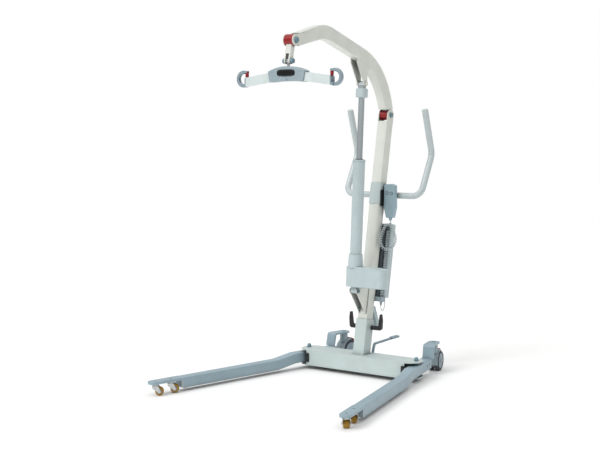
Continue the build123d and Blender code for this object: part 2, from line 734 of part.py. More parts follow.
with BuildPart() as charge_socket:
    with BuildSketch(side_plane(-6)):
        with BuildLine():
            Polyline((mast_back(322, 29.5), 322), (pivot_y + 94, 322), (pivot_y + 137, 228),
                     (pivot_y + 115, 218), (pivot_y + 80, 296), (mast_back(296, 29.5), 296), close=True)
        make_face()
        fillet(vertices().group_by(Axis.Y)[0] + vertices().group_by(Axis.Y)[1], radius=5)
    extrude(amount=28)
save(charge_socket, "charge_socket")

# ---- handset ------------------------------------------------------------------------------
set_x, set_y, set_low, set_high, set_deep = 66.0, pivot_y + 158, 757.0, 924.0, 27.0
set_front = Plane(origin=(set_x, set_y + set_deep / 2, 0), x_dir=(1, 0, 0), z_dir=(0, -1, 0))
button_places = {"up": (-12.0, 880.0), "down": (13.0, 878.0)}
button_radius = 6.0
exit_x, exit_y, exit_z = 68.0, pivot_y + 157, 745.0
with BuildPart() as handset:
    with BuildSketch(set_front):
        with BuildLine():
            Polyline((-30, set_high - 8), (-31, set_low + 50), (-18, set_low), (20, set_low),
                     (31, set_low + 50), (30, set_high - 8))
            ThreePointArc((30, set_high - 8), (0, set_high), (-30, set_high - 8))
        make_face()
        fillet(vertices().group_by(Axis.Y)[0], radius=6)
    extrude(amount=set_deep)
    fillet(handset.faces().sort_by(Axis.Y)[0].edges(), radius=4)
    with BuildSketch(set_front.offset(set_deep - 5)):
        with Locations(*button_places.values()):
            Circle(button_radius + clearance)
    extrude(amount=6, mode=Mode.SUBTRACT)
    # strain relief of the curly cord
    with BuildSketch(Plane.XY.offset(set_low + 1)):
        with Locations((exit_x, exit_y)):
            Circle(9.5)
    extrude(amount=exit_z - set_low - 1, taper=8)
save(handset, "handset")

for name, place in button_places.items():
    with BuildPart() as button:
        with BuildSketch(set_front.offset(set_deep - 5 + 1.8)):
            with Locations(place):
                Circle(button_radius)
        extrude(amount=4.6)
        fillet(button.edges().group_by(Axis.Y)[0], radius=0.8)
    save(button, f"handset_button_{name}")

with BuildPart() as handset_bracket:
    side_face = mast_width / 2 + 2.5
    with BuildSketch(side_plane(side_face)):
        with Locations((pivot_y + 148, 855)):
            RectangleRounded(50, 78, 5)
    extrude(amount=3)
    back_of_set = set_y + set_deep / 2 + clearance
    with BuildSketch(Plane.XY.offset(838)):
        with Locations(((side_face + 84) / 2, back_of_set + 1.7)):
            Rectangle(84 - side_face, 3.4)
    extrude(amount=50)
save(handset_bracket, "handset_bracket")


def cord_radii(points, share=0.45):
    """The largest arc at each corner of a route: a share of its shorter run over the half turn's tangent."""
    places = [Vector(*point) for point in points]
    radii = []
    for before, corner, after in zip(places, places[1:], places[2:]):
        run_in, run_out = corner - before, after - corner
        half_turn = radians(run_in.get_angle(run_out)) / 2
        radii.append(share * min(run_in.length, run_out.length) / tan(half_turn))
    return radii


def round_cord(points, diameter, radii):
    with BuildPart() as cord:
        with BuildLine():
            FilletPolyline(*points, radius=radii)
        start = Vector(*points[1]) - Vector(*points[0])
        with BuildSketch(Plane(origin=points[0], z_dir=start)):
            Circle(diameter / 2)
        sweep()
    return cord


def wrap_points(x, centre_y, centre_z, radius, headings):
    """Corners of a path round an axis along X at a radius, one for each change of heading."""
    corners = []
    for now, after in zip(headings, headings[1:]):
        middle, reach = radians((now + after) / 2), radius / cos(radians((now - after) / 2))
        corners.append((x, centre_y - reach * sin(middle), centre_z + reach * cos(middle)))
    return corners


# the curly cord hangs in a loop from the handset, over the peg and down to the connector block
curly_end = mast_point(box_low, 46, 49)
peg_wrap = 17.6
curly_route = [
    (exit_x, exit_y, exit_z), (exit_x, exit_y, 716), (86, pivot_y + 168, 684), (93, pivot_y + 171, 646),
    (84, pivot_y + 157, 610), (64, pivot_y + 126, 598), (46, pivot_y + 101, 621), (44, pivot_y + 103, 660),
    (47, pivot_y + 122, 694), *wrap_points(49, peg_y, peg_z, peg_wrap, (64, 8, -46, -101.2)), curly_end,
]
curly_radii = cord_radii(curly_route)
curly_radii[-3:] = [peg_wrap - 0.5] * 3      # half a turn over the peg
print("curly cord radii", [round(radius, 1) for radius in curly_radii])
save(round_cord(curly_route, cord_outer, curly_radii), "handset_cord")

lead_start, lead_end = mast_point(245, 52, 50), mast_point(box_low, 84.5, 50)
lead_route = [lead_start, (50, lead_start[1] + 1, 300), (50, lead_end[1] - 2, 301), lead_end]
lead_radii = cord_radii(lead_route)
print("motor lead radii", [round(radius, 1) for radius in lead_radii])
save(round_cord(lead_route, 4.0, lead_radii), "motor_lead")

# ---- actuator -----------------------------------------------------------------------------
tube_radius, rod_radius, eye_radius, eye_half = 28.5, 14.5, 12.0, 15.5
tube_high = 632.0                           # top of the outer tube above the lower pivot
housing_low, housing_high = 20.0, 118.0
with BuildPart() as actuator_tube:
    with BuildSketch(actuator_plane(housing_low)):
        Circle(tube_radius)
    extrude(amount=tube_high - 8 - housing_low)
    with BuildSketch(actuator_plane(tube_high - 8)):
        Circle(tube_radius + 2)
    extrude(amount=8)
    with BuildSketch(actuator_plane(60)):
        Circle(rod_radius + 0.08)
    extrude(amount=tube_high, mode=Mode.SUBTRACT)
    # tail eye on the lower pivot
    with BuildSketch(side_plane(-eye_half)):
        with Locations((foot_y, foot_z)):
            Circle(eye_radius)
    extrude(amount=2 * eye_half)
    with BuildSketch(actuator_plane(0)):
        Rectangle(2 * eye_half, 2 * eye_radius - 4)
    extrude(amount=housing_low + 2)
    with BuildSketch(side_plane(-eye_half - 1)):
        with Locations((foot_y, foot_z)):
            Circle(6 + shaft_clearance)
    extrude(amount=2 * eye_half + 2, mode=Mode.SUBTRACT)
save(actuator_tube, "actuator_tube")

with BuildPart() as motor_housing:
    with BuildSketch(actuator_plane(housing_low)):
        with Locations((66, 2)):
            RectangleRounded(216, 68, 26)
    extrude(amount=housing_high - housing_low)
    # the lid falls away to the right
    with BuildSketch(Plane(origin=(0, foot_y - 60, 0), x_dir=(1, 0, 0), z_dir=(0, -1, 0))):
        with BuildLine():
            Polyline((36, foot_z + housing_high + 12), (190, foot_z + housing_high - 12),
                     (190, foot_z + housing_high + 40), (36, foot_z + housing_high + 40), close=True)
        make_face()
    extrude(amount=-140, mode=Mode.SUBTRACT)
    with BuildSketch(actuator_plane(housing_high - 6)):
        with Locations((0, 0)):
            Circle(37)
    extrude(amount=66, taper=3)
    fillet(motor_housing.edges().group_by(Axis.Z)[0], radius=5)
    with BuildSketch(actuator_plane(0)):
        Circle(tube_radius)
    extrude(amount=250, mode=Mode.SUBTRACT)
save(motor_housing, "motor_housing")

rod_low = 340.0
with BuildPart() as actuator_rod:
    with BuildSketch(actuator_plane(rod_low)):
        Circle(rod_radius)
    extrude(amount=actuator_length - 24 - rod_low)
    with BuildSketch(actuator_plane(actuator_length - 24)):
        Rectangle(2 * eye_half, 2 * eye_radius - 2)
    extrude(amount=24)
    with BuildSketch(side_plane(-eye_half)):
        with Locations((head_y, head_z)):
            Circle(eye_radius)
    extrude(amount=2 * eye_half)
save(actuator_rod, "actuator_rod")

with BuildPart() as rod_collar:
    with BuildSketch(actuator_plane(actuator_length - 66)):
        RectangleRounded(50, 46, 12)
        Circle(rod_radius, mode=Mode.SUBTRACT)
    extrude(amount=42)
    fillet(rod_collar.edges().group_by(Axis.Z)[-1], radius=3)
save(rod_collar, "rod_collar")

# ---- boom ---------------------------------------------------------------------------------
heel_top = 1288.0                           # where the boom's tube meets the hinge barrel
barrel_radius = 24.5


def boom_outline(inset):
    """Side view of the arched boom, drawn in by an inset."""
    top = [(tip_y, tip_z + 24 - inset), (pivot_y - 351, 1673.7 - inset),
           (pivot_y + 199 - inset, 1511 - inset), (pivot_y + 253 - inset, heel_top)]
    low = [(pivot_y + 183 + inset, heel_top), (pivot_y + 121, 1472 + inset),
           (pivot_y - 345, 1605.7 + inset), (tip_y, tip_z - 31 + inset)]
    FilletPolyline(*top, radius=[250, 375])
    Line(top[-1], low[0])
    FilletPolyline(*low, radius=[340, 200])
    Line(low[-1], top[0])


with BuildPart() as boom:
    with BuildSketch(side_plane(-boom_width / 2)):
        with BuildLine():
            boom_outline(0)
        make_face()
    extrude(amount=boom_width)
    fillet(boom.edges().filter_by(lambda e: e.length > 100), radius=5)
    with BuildSketch(side_plane(-boom_width / 2 + boom_wall)):
        with BuildLine():
            boom_outline(boom_wall)
        make_face()
    extrude(amount=boom_width - 2 * boom_wall, mode=Mode.SUBTRACT)
    # end plate above the hinge, with a lug that carries the hinge tube
    with BuildSketch(side_plane(-boom_width / 2 + 1)):
        with Locations((pivot_y + 218, heel_top + 3)):
            Rectangle(64, 6)
    extrude(amount=boom_width - 2)
    with BuildSketch(side_plane(-14)):
        with Locations(hinge_at):
            Circle(14)
        with Locations((hinge_y, (hinge_z + heel_top) / 2)):
            Rectangle(24, heel_top - hinge_z + 4)
    extrude(amount=28)
    with BuildSketch(side_plane(-30)):
        with Locations(hinge_at):
            Circle(hinge_bore)
    extrude(amount=60, mode=Mode.SUBTRACT)
    # the tube stops short of the tip, and two cheeks outside it carry the pin
    with BuildSketch(side_plane(-boom_width)):
        with Locations((tip_y - 20, tip_z)):
            Rectangle(108, 120)
    extrude(amount=2 * boom_width, mode=Mode.SUBTRACT)
    with BuildSketch(side_plane(-boom_width / 2 + 1)):
        with Locations((tip_y + 37, tip_z + 1)):
            Rectangle(6, 46)
    extrude(amount=boom_width - 2)
    for across in (boom_width / 2, -tip_half):
        with BuildSketch(side_plane(across)):
            with Locations((tip_y, tip_z)):
                Circle(boom_end_radius)
            with BuildLine():
                Polyline((tip_y, tip_z + boom_end_radius), (tip_y + 70, tip_z + 34), (tip_y + 84, tip_z + 4),
                         (tip_y + 70, tip_z - 12), (tip_y, tip_z - boom_end_radius), close=True)
            make_face()
        extrude(amount=tip_half - boom_width / 2)
    with BuildSketch(side_plane(-30)):
        with Locations((tip_y, tip_z)):
            Circle(8)
    extrude(amount=60, mode=Mode.SUBTRACT)
save(boom, "boom")

with BuildPart() as boom_heel_barrel:
    with BuildSketch(side_plane(-boom_width / 2)):
        with Locations(hinge_at):
            Circle(barrel_radius)
    extrude(amount=boom_width)
    with BuildSketch(side_plane(-14)):
        with Locations(hinge_at):
            Circle(14)
        with Locations((hinge_y, hinge_z + 20)):
            Rectangle(24, 40)
    extrude(amount=28, mode=Mode.SUBTRACT)
    with BuildSketch(side_plane(-30)):
        with Locations(hinge_at):
            Circle(hinge_bore)
    extrude(amount=60, mode=Mode.SUBTRACT)
save(boom_heel_barrel, "boom_heel_barrel")

boom_slope = (1605.7 - 1472) / (-345 - 121)   # of the straight stretch's underside


def boom_underside(y):
    return 1472 + boom_slope * (y - pivot_y - 121)


with BuildPart() as head_bracket:
    front, back = pivot_y - 76, pivot_y + 13
    for across in (plate_in, -plate_out):
        with BuildSketch(side_plane(across)):
            with BuildLine():
                Polyline((front, boom_underside(front)), (back, boom_underside(back)),
                         (head_y + foot_radius, head_z), (head_y - foot_radius, head_z),
                         (front, boom_underside(front) - 22), close=True)
            make_face()
            with Locations((head_y, head_z)):
                Circle(foot_radius)
        extrude(amount=plate_out - plate_in)
    with BuildSketch(side_plane(-plate_in)):
        with BuildLine():
            Polyline((front, boom_underside(front)), (back, boom_underside(back)),
                     (back, boom_underside(back) - 4), (front, boom_underside(front) - 4), close=True)
        make_face()
    extrude(amount=2 * plate_in)
    add(boom.part, mode=Mode.SUBTRACT)
    # heads of the pivot bolt
    for hand in (1, -1):
        with BuildSketch(side_plane(hand * plate_out)):
            with Locations((head_y, head_z)):
                Circle(11)
        extrude(amount=hand * 7, taper=10)
save(head_bracket, "actuator_head_bracket")

with BuildPart() as boom_tip_pin:
    with BuildSketch(side_plane(-tip_half - 1)):
        with Locations((tip_y, tip_z)):
            Circle(8 - shaft_clearance)
    extrude(amount=2 * tip_half + 2)
    for hand in (1, -1):
        with BuildSketch(side_plane(hand * tip_half)):
            with Locations((tip_y, tip_z)):
                Circle(13.5)
                Circle(8 - shaft_clearance, mode=Mode.SUBTRACT)
        extrude(amount=hand * 1)
        with BuildSketch(side_plane(hand * (tip_half + 1))):
            with Locations((tip_y, tip_z)):
                Circle(13.5)
        extrude(amount=hand * 7, taper=12)
save(boom_tip_pin, "boom_tip_pin")

# ---- hanger link --------------------------------------------------------------------------
link_plane_lean = radians(link_lean)
link_width, link_deep, link_slot = 30.0, 29.0, 8.0


def link_plane(along):
    """Square to the hanger link, a distance below the boom's tip: local x is +X."""
    l_sin, l_cos = sin(link_plane_lean), cos(link_plane_lean)
    origin = (0, tip_y - along * l_sin, tip_z - along * l_cos)
    return Plane(origin=origin, x_dir=(1, 0, 0), z_dir=(0, -l_sin, -l_cos))


barrel_half = boom_width / 2 - clearance
with BuildPart() as hanger_link:
    with BuildSketch(link_plane(10)):
        RectangleRounded(link_width, link_deep, 4)
    extrude(amount=link_length - 10)
    with BuildSketch(side_plane(-link_width / 2)):
        with Locations((link_y, link_z)):
            Circle(link_deep / 2)
    extrude(amount=link_width)
    with BuildSketch(side_plane(-18)):
        with Locations((tip_y, tip_z)):
            Circle(13)
    extrude(amount=36)
    # slot that takes the eye of the swivel stem
    with BuildSketch(link_plane(link_length - 30)):
        Rectangle(2 * link_slot, link_deep + 10)
    extrude(amount=60, mode=Mode.SUBTRACT)
    for y, z, bore in ((tip_y, tip_z, 8.0), (link_y, link_z, 5 + shaft_clearance)):
        with BuildSketch(side_plane(-30)):
            with Locations((y, z)):
                Circle(bore)
        extrude(amount=60, mode=Mode.SUBTRACT)
save(hanger_link, "hanger_link")

with BuildPart() as link_barrel:
    with BuildSketch(side_plane(-barrel_half)):
        with Locations((tip_y, tip_z)):
            Circle(boom_end_radius + 0.5)
    extrude(amount=2 * barrel_half)
    with BuildSketch(side_plane(-18)):
        with Locations((tip_y, tip_z)):
            Circle(13)
    extrude(amount=36, mode=Mode.SUBTRACT)
    with BuildSketch(link_plane(8)):
        RectangleRounded(link_width, link_deep, 4)
    extrude(amount=40, mode=Mode.SUBTRACT)
    with BuildSketch(side_plane(-30)):
        with Locations((tip_y, tip_z)):
            Circle(8)
    extrude(amount=60, mode=Mode.SUBTRACT)
save(link_barrel, "link_barrel")

with BuildPart() as link_bolt:
    with BuildSketch(side_plane(-link_width / 2 - 1)):
        with Locations((link_y, link_z)):
            Circle(5)
    extrude(amount=link_width + 2)
    for hand in (1, -1):
        with BuildSketch(side_plane(hand * link_width / 2)):
            with Locations((link_y, link_z)):
                Circle(12.5)
                Circle(5, mode=Mode.SUBTRACT)
        extrude(amount=hand * 1)
        with BuildSketch(side_plane(hand * (link_width / 2 + 1))):
            with Locations((link_y, link_z)):
                Circle(12.5)
        extrude(amount=hand * 11, taper=8)
save(link_bolt, "link_bolt")

# ---- swivel stem and spreader -------------------------------------------------------------
stem_radius = 6.0
stem_low = spreader_z - 4
eye_thick = 2 * link_slot - 2 * clearance
with BuildPart() as swivel_stem:
    with BuildSketch(Plane.XY.offset(stem_low)):
        with Locations((0, link_y)):
            Circle(stem_radius)
    extrude(amount=link_z - 8 - stem_low)
    with BuildSketch(Plane.XY.offset(stem_low - 6)):
        with Locations((0, link_y)):
            Circle(9)
    extrude(amount=6)
    with BuildSketch(side_plane(-eye_thick / 2)):
        with Locations((link_y, link_z)):
            Circle(10)
        with Locations((link_y, link_z - 8)):
            Rectangle(12, 10)
    extrude(amount=eye_thick)
    with BuildSketch(side_plane(-30)):
        with Locations((link_y, link_z)):
            Circle(5 + shaft_clearance)
    extrude(amount=60, mode=Mode.SUBTRACT)
save(swivel_stem, "swivel_stem")

arm_slope = tan(radians(7.8))
arm_half_high, arm_half_deep, arm_wall, arm_end = 19.5, 15.0, 2.5, 226.0
arm_flat = 60.0                           # half length of the level stretch inside the cover
arm_mid_z = 1421.5                        # middle of the arms at the cover's edge
arm_mid_x = 98.0
spreader_front = Plane(origin=(0, link_y, 0), x_dir=(1, 0, 0), z_dir=(0, -1, 0))


def arm_z(x, offset=0.0):
    return arm_mid_z + offset - arm_slope * (max(abs(x), arm_flat) - arm_mid_x)


def arm_outline(end, half_high):
    """Front view of both arms in one, level in the middle and falling to the ends."""
    upper = [(x, arm_z(x, half_high)) for x in (-end, -arm_flat, arm_flat, end)]
    lower = [(x, arm_z(x, -half_high)) for x in (end, arm_flat, -arm_flat, -end)]
    Polyline(*upper, *lower, close=True)


with BuildPart() as spreader_arms:
    for half_high, half_deep, end, mode in (
            (arm_half_high, arm_half_deep, arm_end, Mode.ADD),
            (arm_half_high - arm_wall, arm_half_deep - arm_wall, arm_end + 1, Mode.SUBTRACT)):
        with BuildSketch(spreader_front.offset(-half_deep)):
            with BuildLine():
                arm_outline(end, half_high)
            make_face()
        extrude(amount=2 * half_deep, mode=mode)
    # bearing block for the stem
    with BuildSketch(Plane.XY.offset(arm_z(0, -arm_half_high) + 6)):
        with Locations((0, link_y)):
            Rectangle(40, 2 * arm_half_deep - 1)
    extrude(amount=2 * arm_half_high - 8)
    with BuildSketch(Plane.XY.offset(arm_z(0, -arm_half_high) - 10)):
        with Locations((0, link_y)):
            Circle(9.5)
    extrude(amount=stem_low + clearance - arm_z(0, -arm_half_high) + 10, mode=Mode.SUBTRACT)
    with BuildSketch(Plane.XY.offset(stem_low)):
        with Locations((0, link_y)):
            Circle(stem_radius + shaft_clearance)
    extrude(amount=60, mode=Mode.SUBTRACT)
save(spreader_arms, "spreader_arms")

cover_half, cover_deep = 99.0, 42.0
cover_top, cover_shoulder, cover_low, cover_mid_low = 1468.5, 1447.0, 1399.0, 1404.0
with BuildPart() as spreader_cover:
    with BuildSketch(spreader_front.offset(-cover_deep / 2)):
        with BuildLine():
            ThreePointArc((-cover_half, cover_shoulder), (0, cover_top), (cover_half, cover_shoulder))
            Line((cover_half, cover_shoulder), (cover_half - 9, cover_low))
            ThreePointArc((cover_half - 9, cover_low), (0, cover_mid_low), (-cover_half + 9, cover_low))
            Line((-cover_half + 9, cover_low), (-cover_half, cover_shoulder))
        make_face()
    extrude(amount=cover_deep)
    fillet(spreader_cover.edges().filter_by(Axis.Y), radius=5)
    fillet(spreader_cover.faces().filter_by(Axis.Y).edges(), radius=3)
    with BuildSketch(spreader_front.offset(-arm_half_deep - 0.2)):
        with BuildLine():
            arm_outline(150, arm_half_high + 0.2)
        make_face()
    extrude(amount=2 * arm_half_deep + 0.4, mode=Mode.SUBTRACT)
    with BuildSketch(Plane.XY.offset(cover_mid_low - 20)):
        with Locations((0, link_y)):
            Circle(9.5)
    extrude(amount=40, mode=Mode.SUBTRACT)
    with BuildSketch(Plane.XY.offset(stem_low)):
        with Locations((0, link_y)):
            Circle(stem_radius + 0.5)
    extrude(amount=80, mode=Mode.SUBTRACT)
    # recess for the blank badge on the front
    with BuildSketch(spreader_front.offset(cover_deep / 2 - 1.5)):
        with Locations((0, 1439)):
            SlotOverall(98, 31)
    extrude(amount=3, mode=Mode.SUBTRACT)
    # cover screw at the bottom of the front
    with BuildSketch(spreader_front.offset(cover_deep / 2 - 0.5)):
        with Locations((0, 1413)):
            Circle(5.5)
    extrude(amount=2.5)
save(spreader_cover, "spreader_cover")

ring_mid, ring_half = (hook_outer + hook_inner) / 2, (hook_outer - hook_inner) / 2
latch_x, latch_top, latch_low = 228.0, spreader_z + 35.0, arm_z(228, arm_half_high) + clearance
latch_pin_z = latch_top - 4.0
with BuildPart() as sling_hooks:
    for side in (1, -1):
        with BuildSketch(spreader_front.offset(-9)):
            with Locations((side * hook_x, spreader_z)):
                Circle(hook_outer)
                Circle(hook_inner, mode=Mode.SUBTRACT)
            # the mouth, between the top of the ring and the arm
            with BuildLine():
                Polyline((side * (hook_x - 2), spreader_z), (side * (hook_x - 2), spreader_z + 50),
                         (side * (hook_x - 60), spreader_z + 50), (side * (hook_x - 60), spreader_z - 60),
                         (side * arm_end, spreader_z - 60), (side * arm_end, spreader_z - 24), close=True)
            make_face(mode=Mode.SUBTRACT)
        extrude(amount=18)
    fillet(sling_hooks.edges().filter_by(GeomType.CIRCLE), radius=4)
    for side in (1, -1):
        # cheeks and pin at the hook's tip, either side of the latch
        for near in (7 + clearance, -9.0):
            with BuildSketch(spreader_front.offset(near)):
                with BuildLine():
                    Polyline((side * latch_x, latch_pin_z + 5), (side * (hook_x + 3), spreader_z + 37),
                             (side * (hook_x + 3), spreader_z + 25),
                             (side * latch_x, latch_pin_z - 5), close=True)
                make_face()
                with Locations((side * latch_x, latch_pin_z)):
                    Circle(5)
            extrude(amount=9 - 7 - clearance)
        with BuildSketch(spreader_front.offset(-9.5)):
            with Locations((side * latch_x, latch_pin_z)):
                Circle(2 - shaft_clearance)
        extrude(amount=19)
        # shank that plugs into the arm
        with BuildSketch(spreader_front.offset(-arm_half_deep + arm_wall)):
            with BuildLine():
                inner_half = arm_half_high - arm_wall
                Polyline((side * 190, arm_z(190, inner_half)), (side * arm_end, arm_z(arm_end, inner_half)),
                         (side * arm_end, arm_z(arm_end, -inner_half)), (side * 190, arm_z(190, -inner_half)),
                         close=True)
            make_face()
        extrude(amount=2 * (arm_half_deep - arm_wall))
        with BuildSketch(spreader_front.offset(-arm_half_deep)):
            with BuildLine():
                Polyline((side * arm_end, arm_z(arm_end, arm_half_high)),
                         (side * (arm_end + 6), arm_z(arm_end, arm_half_high) - 4),
                         (side * (arm_end + 6), spreader_z - 24), (side * (hook_x - 3), spreader_z - 26),
                         (side * (hook_x - 3), spreader_z - 37.5),
                         (side * arm_end, arm_z(arm_end, -arm_half_high)),
                         close=True)
            make_face()
        extrude(amount=2 * arm_half_deep)
save(sling_hooks, "sling_hooks")

for side in (1, -1):
    with BuildPart() as latch:
        with BuildSketch(spreader_front.offset(-7)):
            with Locations((side * latch_x, (latch_top + latch_low) / 2)):
                RectangleRounded(9, latch_top - latch_low, 3)
            with Locations((side * latch_x, latch_pin_z)):
                Circle(2, mode=Mode.SUBTRACT)
        extrude(amount=14)
    save(latch, f"sling_latch_{side_name[side]}")
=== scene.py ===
"""Looks of a patient lift hoist: paints, mouldings, wheels, cords and small fittings around its CAD frame."""
import json
from math import cos, pi, radians, sin

import bmesh
import bpy
import numpy as np
from bpy.props import FloatProperty, FloatVectorProperty, IntProperty, PointerProperty, StringProperty
from mathutils import Matrix, Vector


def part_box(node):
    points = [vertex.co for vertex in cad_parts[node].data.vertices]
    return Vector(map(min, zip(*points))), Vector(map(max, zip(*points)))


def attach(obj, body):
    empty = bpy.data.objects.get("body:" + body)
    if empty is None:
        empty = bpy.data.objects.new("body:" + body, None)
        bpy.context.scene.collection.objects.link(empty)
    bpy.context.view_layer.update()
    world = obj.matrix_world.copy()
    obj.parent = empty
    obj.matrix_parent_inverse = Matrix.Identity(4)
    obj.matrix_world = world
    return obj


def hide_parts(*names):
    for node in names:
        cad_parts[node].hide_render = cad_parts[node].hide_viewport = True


bl_info = {
    "name": "Patient lift hoist",
    "version": (1, 0, 0),
    "blender": (4, 5, 0),
    "location": "View3D > Sidebar > Hoist",
    "description": "Finishes, wheels, cords and fittings of a mobile patient lift",
    "category": "Object",
}

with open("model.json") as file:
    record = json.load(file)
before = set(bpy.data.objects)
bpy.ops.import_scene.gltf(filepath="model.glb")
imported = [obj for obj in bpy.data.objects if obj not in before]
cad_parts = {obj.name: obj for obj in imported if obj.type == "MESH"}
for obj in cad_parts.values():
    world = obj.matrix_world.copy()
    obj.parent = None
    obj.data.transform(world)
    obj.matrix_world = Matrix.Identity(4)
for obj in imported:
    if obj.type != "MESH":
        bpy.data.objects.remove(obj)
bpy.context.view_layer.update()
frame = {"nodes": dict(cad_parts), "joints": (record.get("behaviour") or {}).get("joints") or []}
joints = {joint["name"]: joint for joint in frame["joints"]}
SIDES = (("right", 1), ("left", -1))
MM = 0.001
MAST_LEAN = radians(10.675)            # backwards from upright
MAST_FOOT = (0.0, 0.3155, 0.098)
BATTERY_BACK = 105.0 * MM              # from the mast's middle line, square to it
TUBE_TOP = 632.0 * MM                  # from the actuator's foot, along it
BADGE_HEIGHT = 40.0 * MM               # middle of the recess over the cover's lower edge
RECESS_DEPTH = 1.5 * MM


# ---- sizes and colours --------------------------------------------------------------------
def colour_property(label, hex_value):
    return StringProperty(name=label, description=f"{label}, as an sRGB hex value", default=hex_value)


def length_property(label, value, note):
    return FloatProperty(name=label, description=note, default=value, unit="LENGTH", precision=5, min=0.0)


class HoistColours(bpy.types.PropertyGroup):
    """Colours of the paints, mouldings and floor"""

    mast: colour_property("Mast and boom paint", "#D9DCD4")
    beam: colour_property("Crossbeam and socket paint", "#BCC9C7")
    arm: colour_property("Sling bar paint", "#D3DEDD")
    leg: colour_property("Leg paint", "#8EA3AD")
    handle: colour_property("Push handle paint", "#BCC6C7")
    housing: colour_property("Motor and box mouldings", "#B7C5C8")
    handset: colour_property("Handset moulding", "#98B0B9")
    grey: colour_property("Grey mouldings", "#9AAAB2")
    hook: colour_property("Hook paint", "#8B9CA5")
    cord: colour_property("Cord sheath", "#CBD5D8")
    cap: colour_property("Bolt caps", "#6E8C96")
    red: colour_property("Red mouldings", "#960812")
    # the control box is drawn dark as painted shade for the shaded gap between the mast and the battery
    control_box_shade: colour_property("Control box moulding", "#39434A")
    black: colour_property("Black mouldings", "#0D0E10")
    rubber: colour_property("Black rubber", "#17181A")
    amber: colour_property("Polyurethane tread", "#A07810")
    tread: colour_property("Rear tread", "#3A4046")
    disc: colour_property("Rear wheel disc", "#8C9CA6")
    zinc: colour_property("Zinc plating", "#C9CCCB")
    chrome: colour_property("Chrome plating", "#E4EEF2")
    floor: colour_property("Studio floor", "#F7F7F6")


class HoistSizes(bpy.types.PropertyGroup):
    """Sizes that a user may change without leaving the frame"""

    edge: length_property("Edge radius", 1.0 * MM, "Rounding that shows on sheet and moulded edges")
    coil_wire: length_property("Cord wire", 4.4 * MM, "Diameter of the wire that the curly cord is made of")
    coil_outer: length_property("Cord coil", 16.0 * MM, "Outer diameter of the curly cord")
    coil_pitch: length_property("Cord pitch", 11.5 * MM, "Distance between two turns of the curly cord")
    lead_diameter: length_property("Motor lead", 4.0 * MM, "Diameter of the motor's lead")
    turn_steps: IntProperty(name="Turn steps", description="Segments round a turned piece", default=96,
                            min=24)


class HoistStage(bpy.types.PropertyGroup):
    """Camera and light"""

    aim: FloatVectorProperty(name="Aim", description="Point that the camera looks at", unit="LENGTH",
                             default=(-0.0304, -0.1645, 0.7620))
    distance: FloatProperty(name="Distance", description="Camera to aim", default=5.3, unit="LENGTH")
    azimuth: FloatProperty(name="Azimuth", description="Camera's turn to the right of the front",
                           default=radians(35.09), subtype="ANGLE")
    elevation: FloatProperty(name="Elevation", description="Camera's height over the aim",
                             default=radians(4.97), subtype="ANGLE")
    lens: FloatProperty(name="Lens", description="Focal length for a 36 mm sensor", default=70.27)
    key_strength: FloatProperty(name="Key light", description="Strength of the soft key light", default=1.2)
    sky_low: FloatProperty(name="Sky at the horizon", description="Strength of the dome low down",
                           default=0.24)
    sky_high: FloatProperty(name="Sky overhead", description="Strength of the dome overhead", default=1.15)


def linear(hex_value):
    """An sRGB hex value as linear red, green, blue and an alpha of 1."""
    channels = np.array([int(hex_value[i:i + 2], 16) for i in (1, 3, 5)]) / 255
    light = np.where(channels <= 0.04045, channels / 12.92, ((channels + 0.055) / 1.055) ** 2.4)
    return (*light.tolist(), 1.0)


def shade(colour, factor):
    """A linear colour, darker or lighter by a factor."""
    return (*(min(1.0, channel * factor) for channel in colour[:3]), 1.0)


# ---- materials ----------------------------------------------------------------------------
def add_node(tree, kind, settings=None, links=None):
    """Adds a node. A setting is one of its properties or sockets, and a link feeds a socket."""
    node = tree.nodes.new(kind)
    for key, value in (settings or {}).items():
        if isinstance(key, str) and hasattr(node, key):
            setattr(node, key, value)
        else:
            node.inputs[key].default_value = value
    for key, socket in (links or {}).items():
        tree.links.new(socket, node.inputs[key])
    return node


def new_tree(name):
    material = bpy.data.materials.new(name)
    material.use_nodes = True
    material.node_tree.nodes.clear()
    return material, material.node_tree


def close_tree(tree, settings, links):
    """Ends a material in one principled shader."""
    shader = add_node(tree, "ShaderNodeBsdfPrincipled", settings, links)
    add_node(tree, "ShaderNodeOutputMaterial", links={"Surface": shader.outputs[0]})


def pattern(tree, size_mm, detail=2.0, stretch=(1, 1, 1)):
    """Noise in object space whose features are a size in millimetres, longer where the stretch is small."""
    place = add_node(tree, "ShaderNodeTexCoord").outputs["Object"]
    mapped = add_node(tree, "ShaderNodeMapping", {"Scale": stretch}, {"Vector": place})
    noise = add_node(tree, "ShaderNodeTexNoise", {"Scale": 1000.0 / size_mm, "Detail": detail},
                     {"Vector": mapped.outputs[0]})
    return noise.outputs[0]


def ramp(tree, value, low, high, start, end):
    """A value carried from one range to another and held at its ends."""
    limits = {"From Min": low, "From Max": high, "To Min": start, "To Max": end}
    return add_node(tree, "ShaderNodeMapRange", limits, {"Value": value}).outputs[0]


def blend_colour(tree, factor, first, second):
    """A mix of two colours, each of them a constant or a socket."""
    node = add_node(tree, "ShaderNodeMix", {"data_type": "RGBA"}, {0: factor})
    for place, colour in ((6, first), (7, second)):
        if isinstance(colour, tuple):
            node.inputs[place].default_value = colour
        else:
            tree.links.new(colour, node.inputs[place])
    return node.outputs[2]


def round_edges(tree, radius):
    """The normal with its edges rounded, and how much of an edge each point is, from 0 to 1."""
    rounded = add_node(tree, "ShaderNodeBevel", {"samples": 6, "Radius": radius}).outputs[0]
    flat = add_node(tree, "ShaderNodeNewGeometry").outputs["Normal"]
    facing = add_node(tree, "ShaderNodeVectorMath", {"operation": "DOT_PRODUCT"}, {0: rounded, 1: flat})
    return rounded, ramp(tree, facing.outputs["Value"], 0.995, 0.86, 0.0, 1.0)


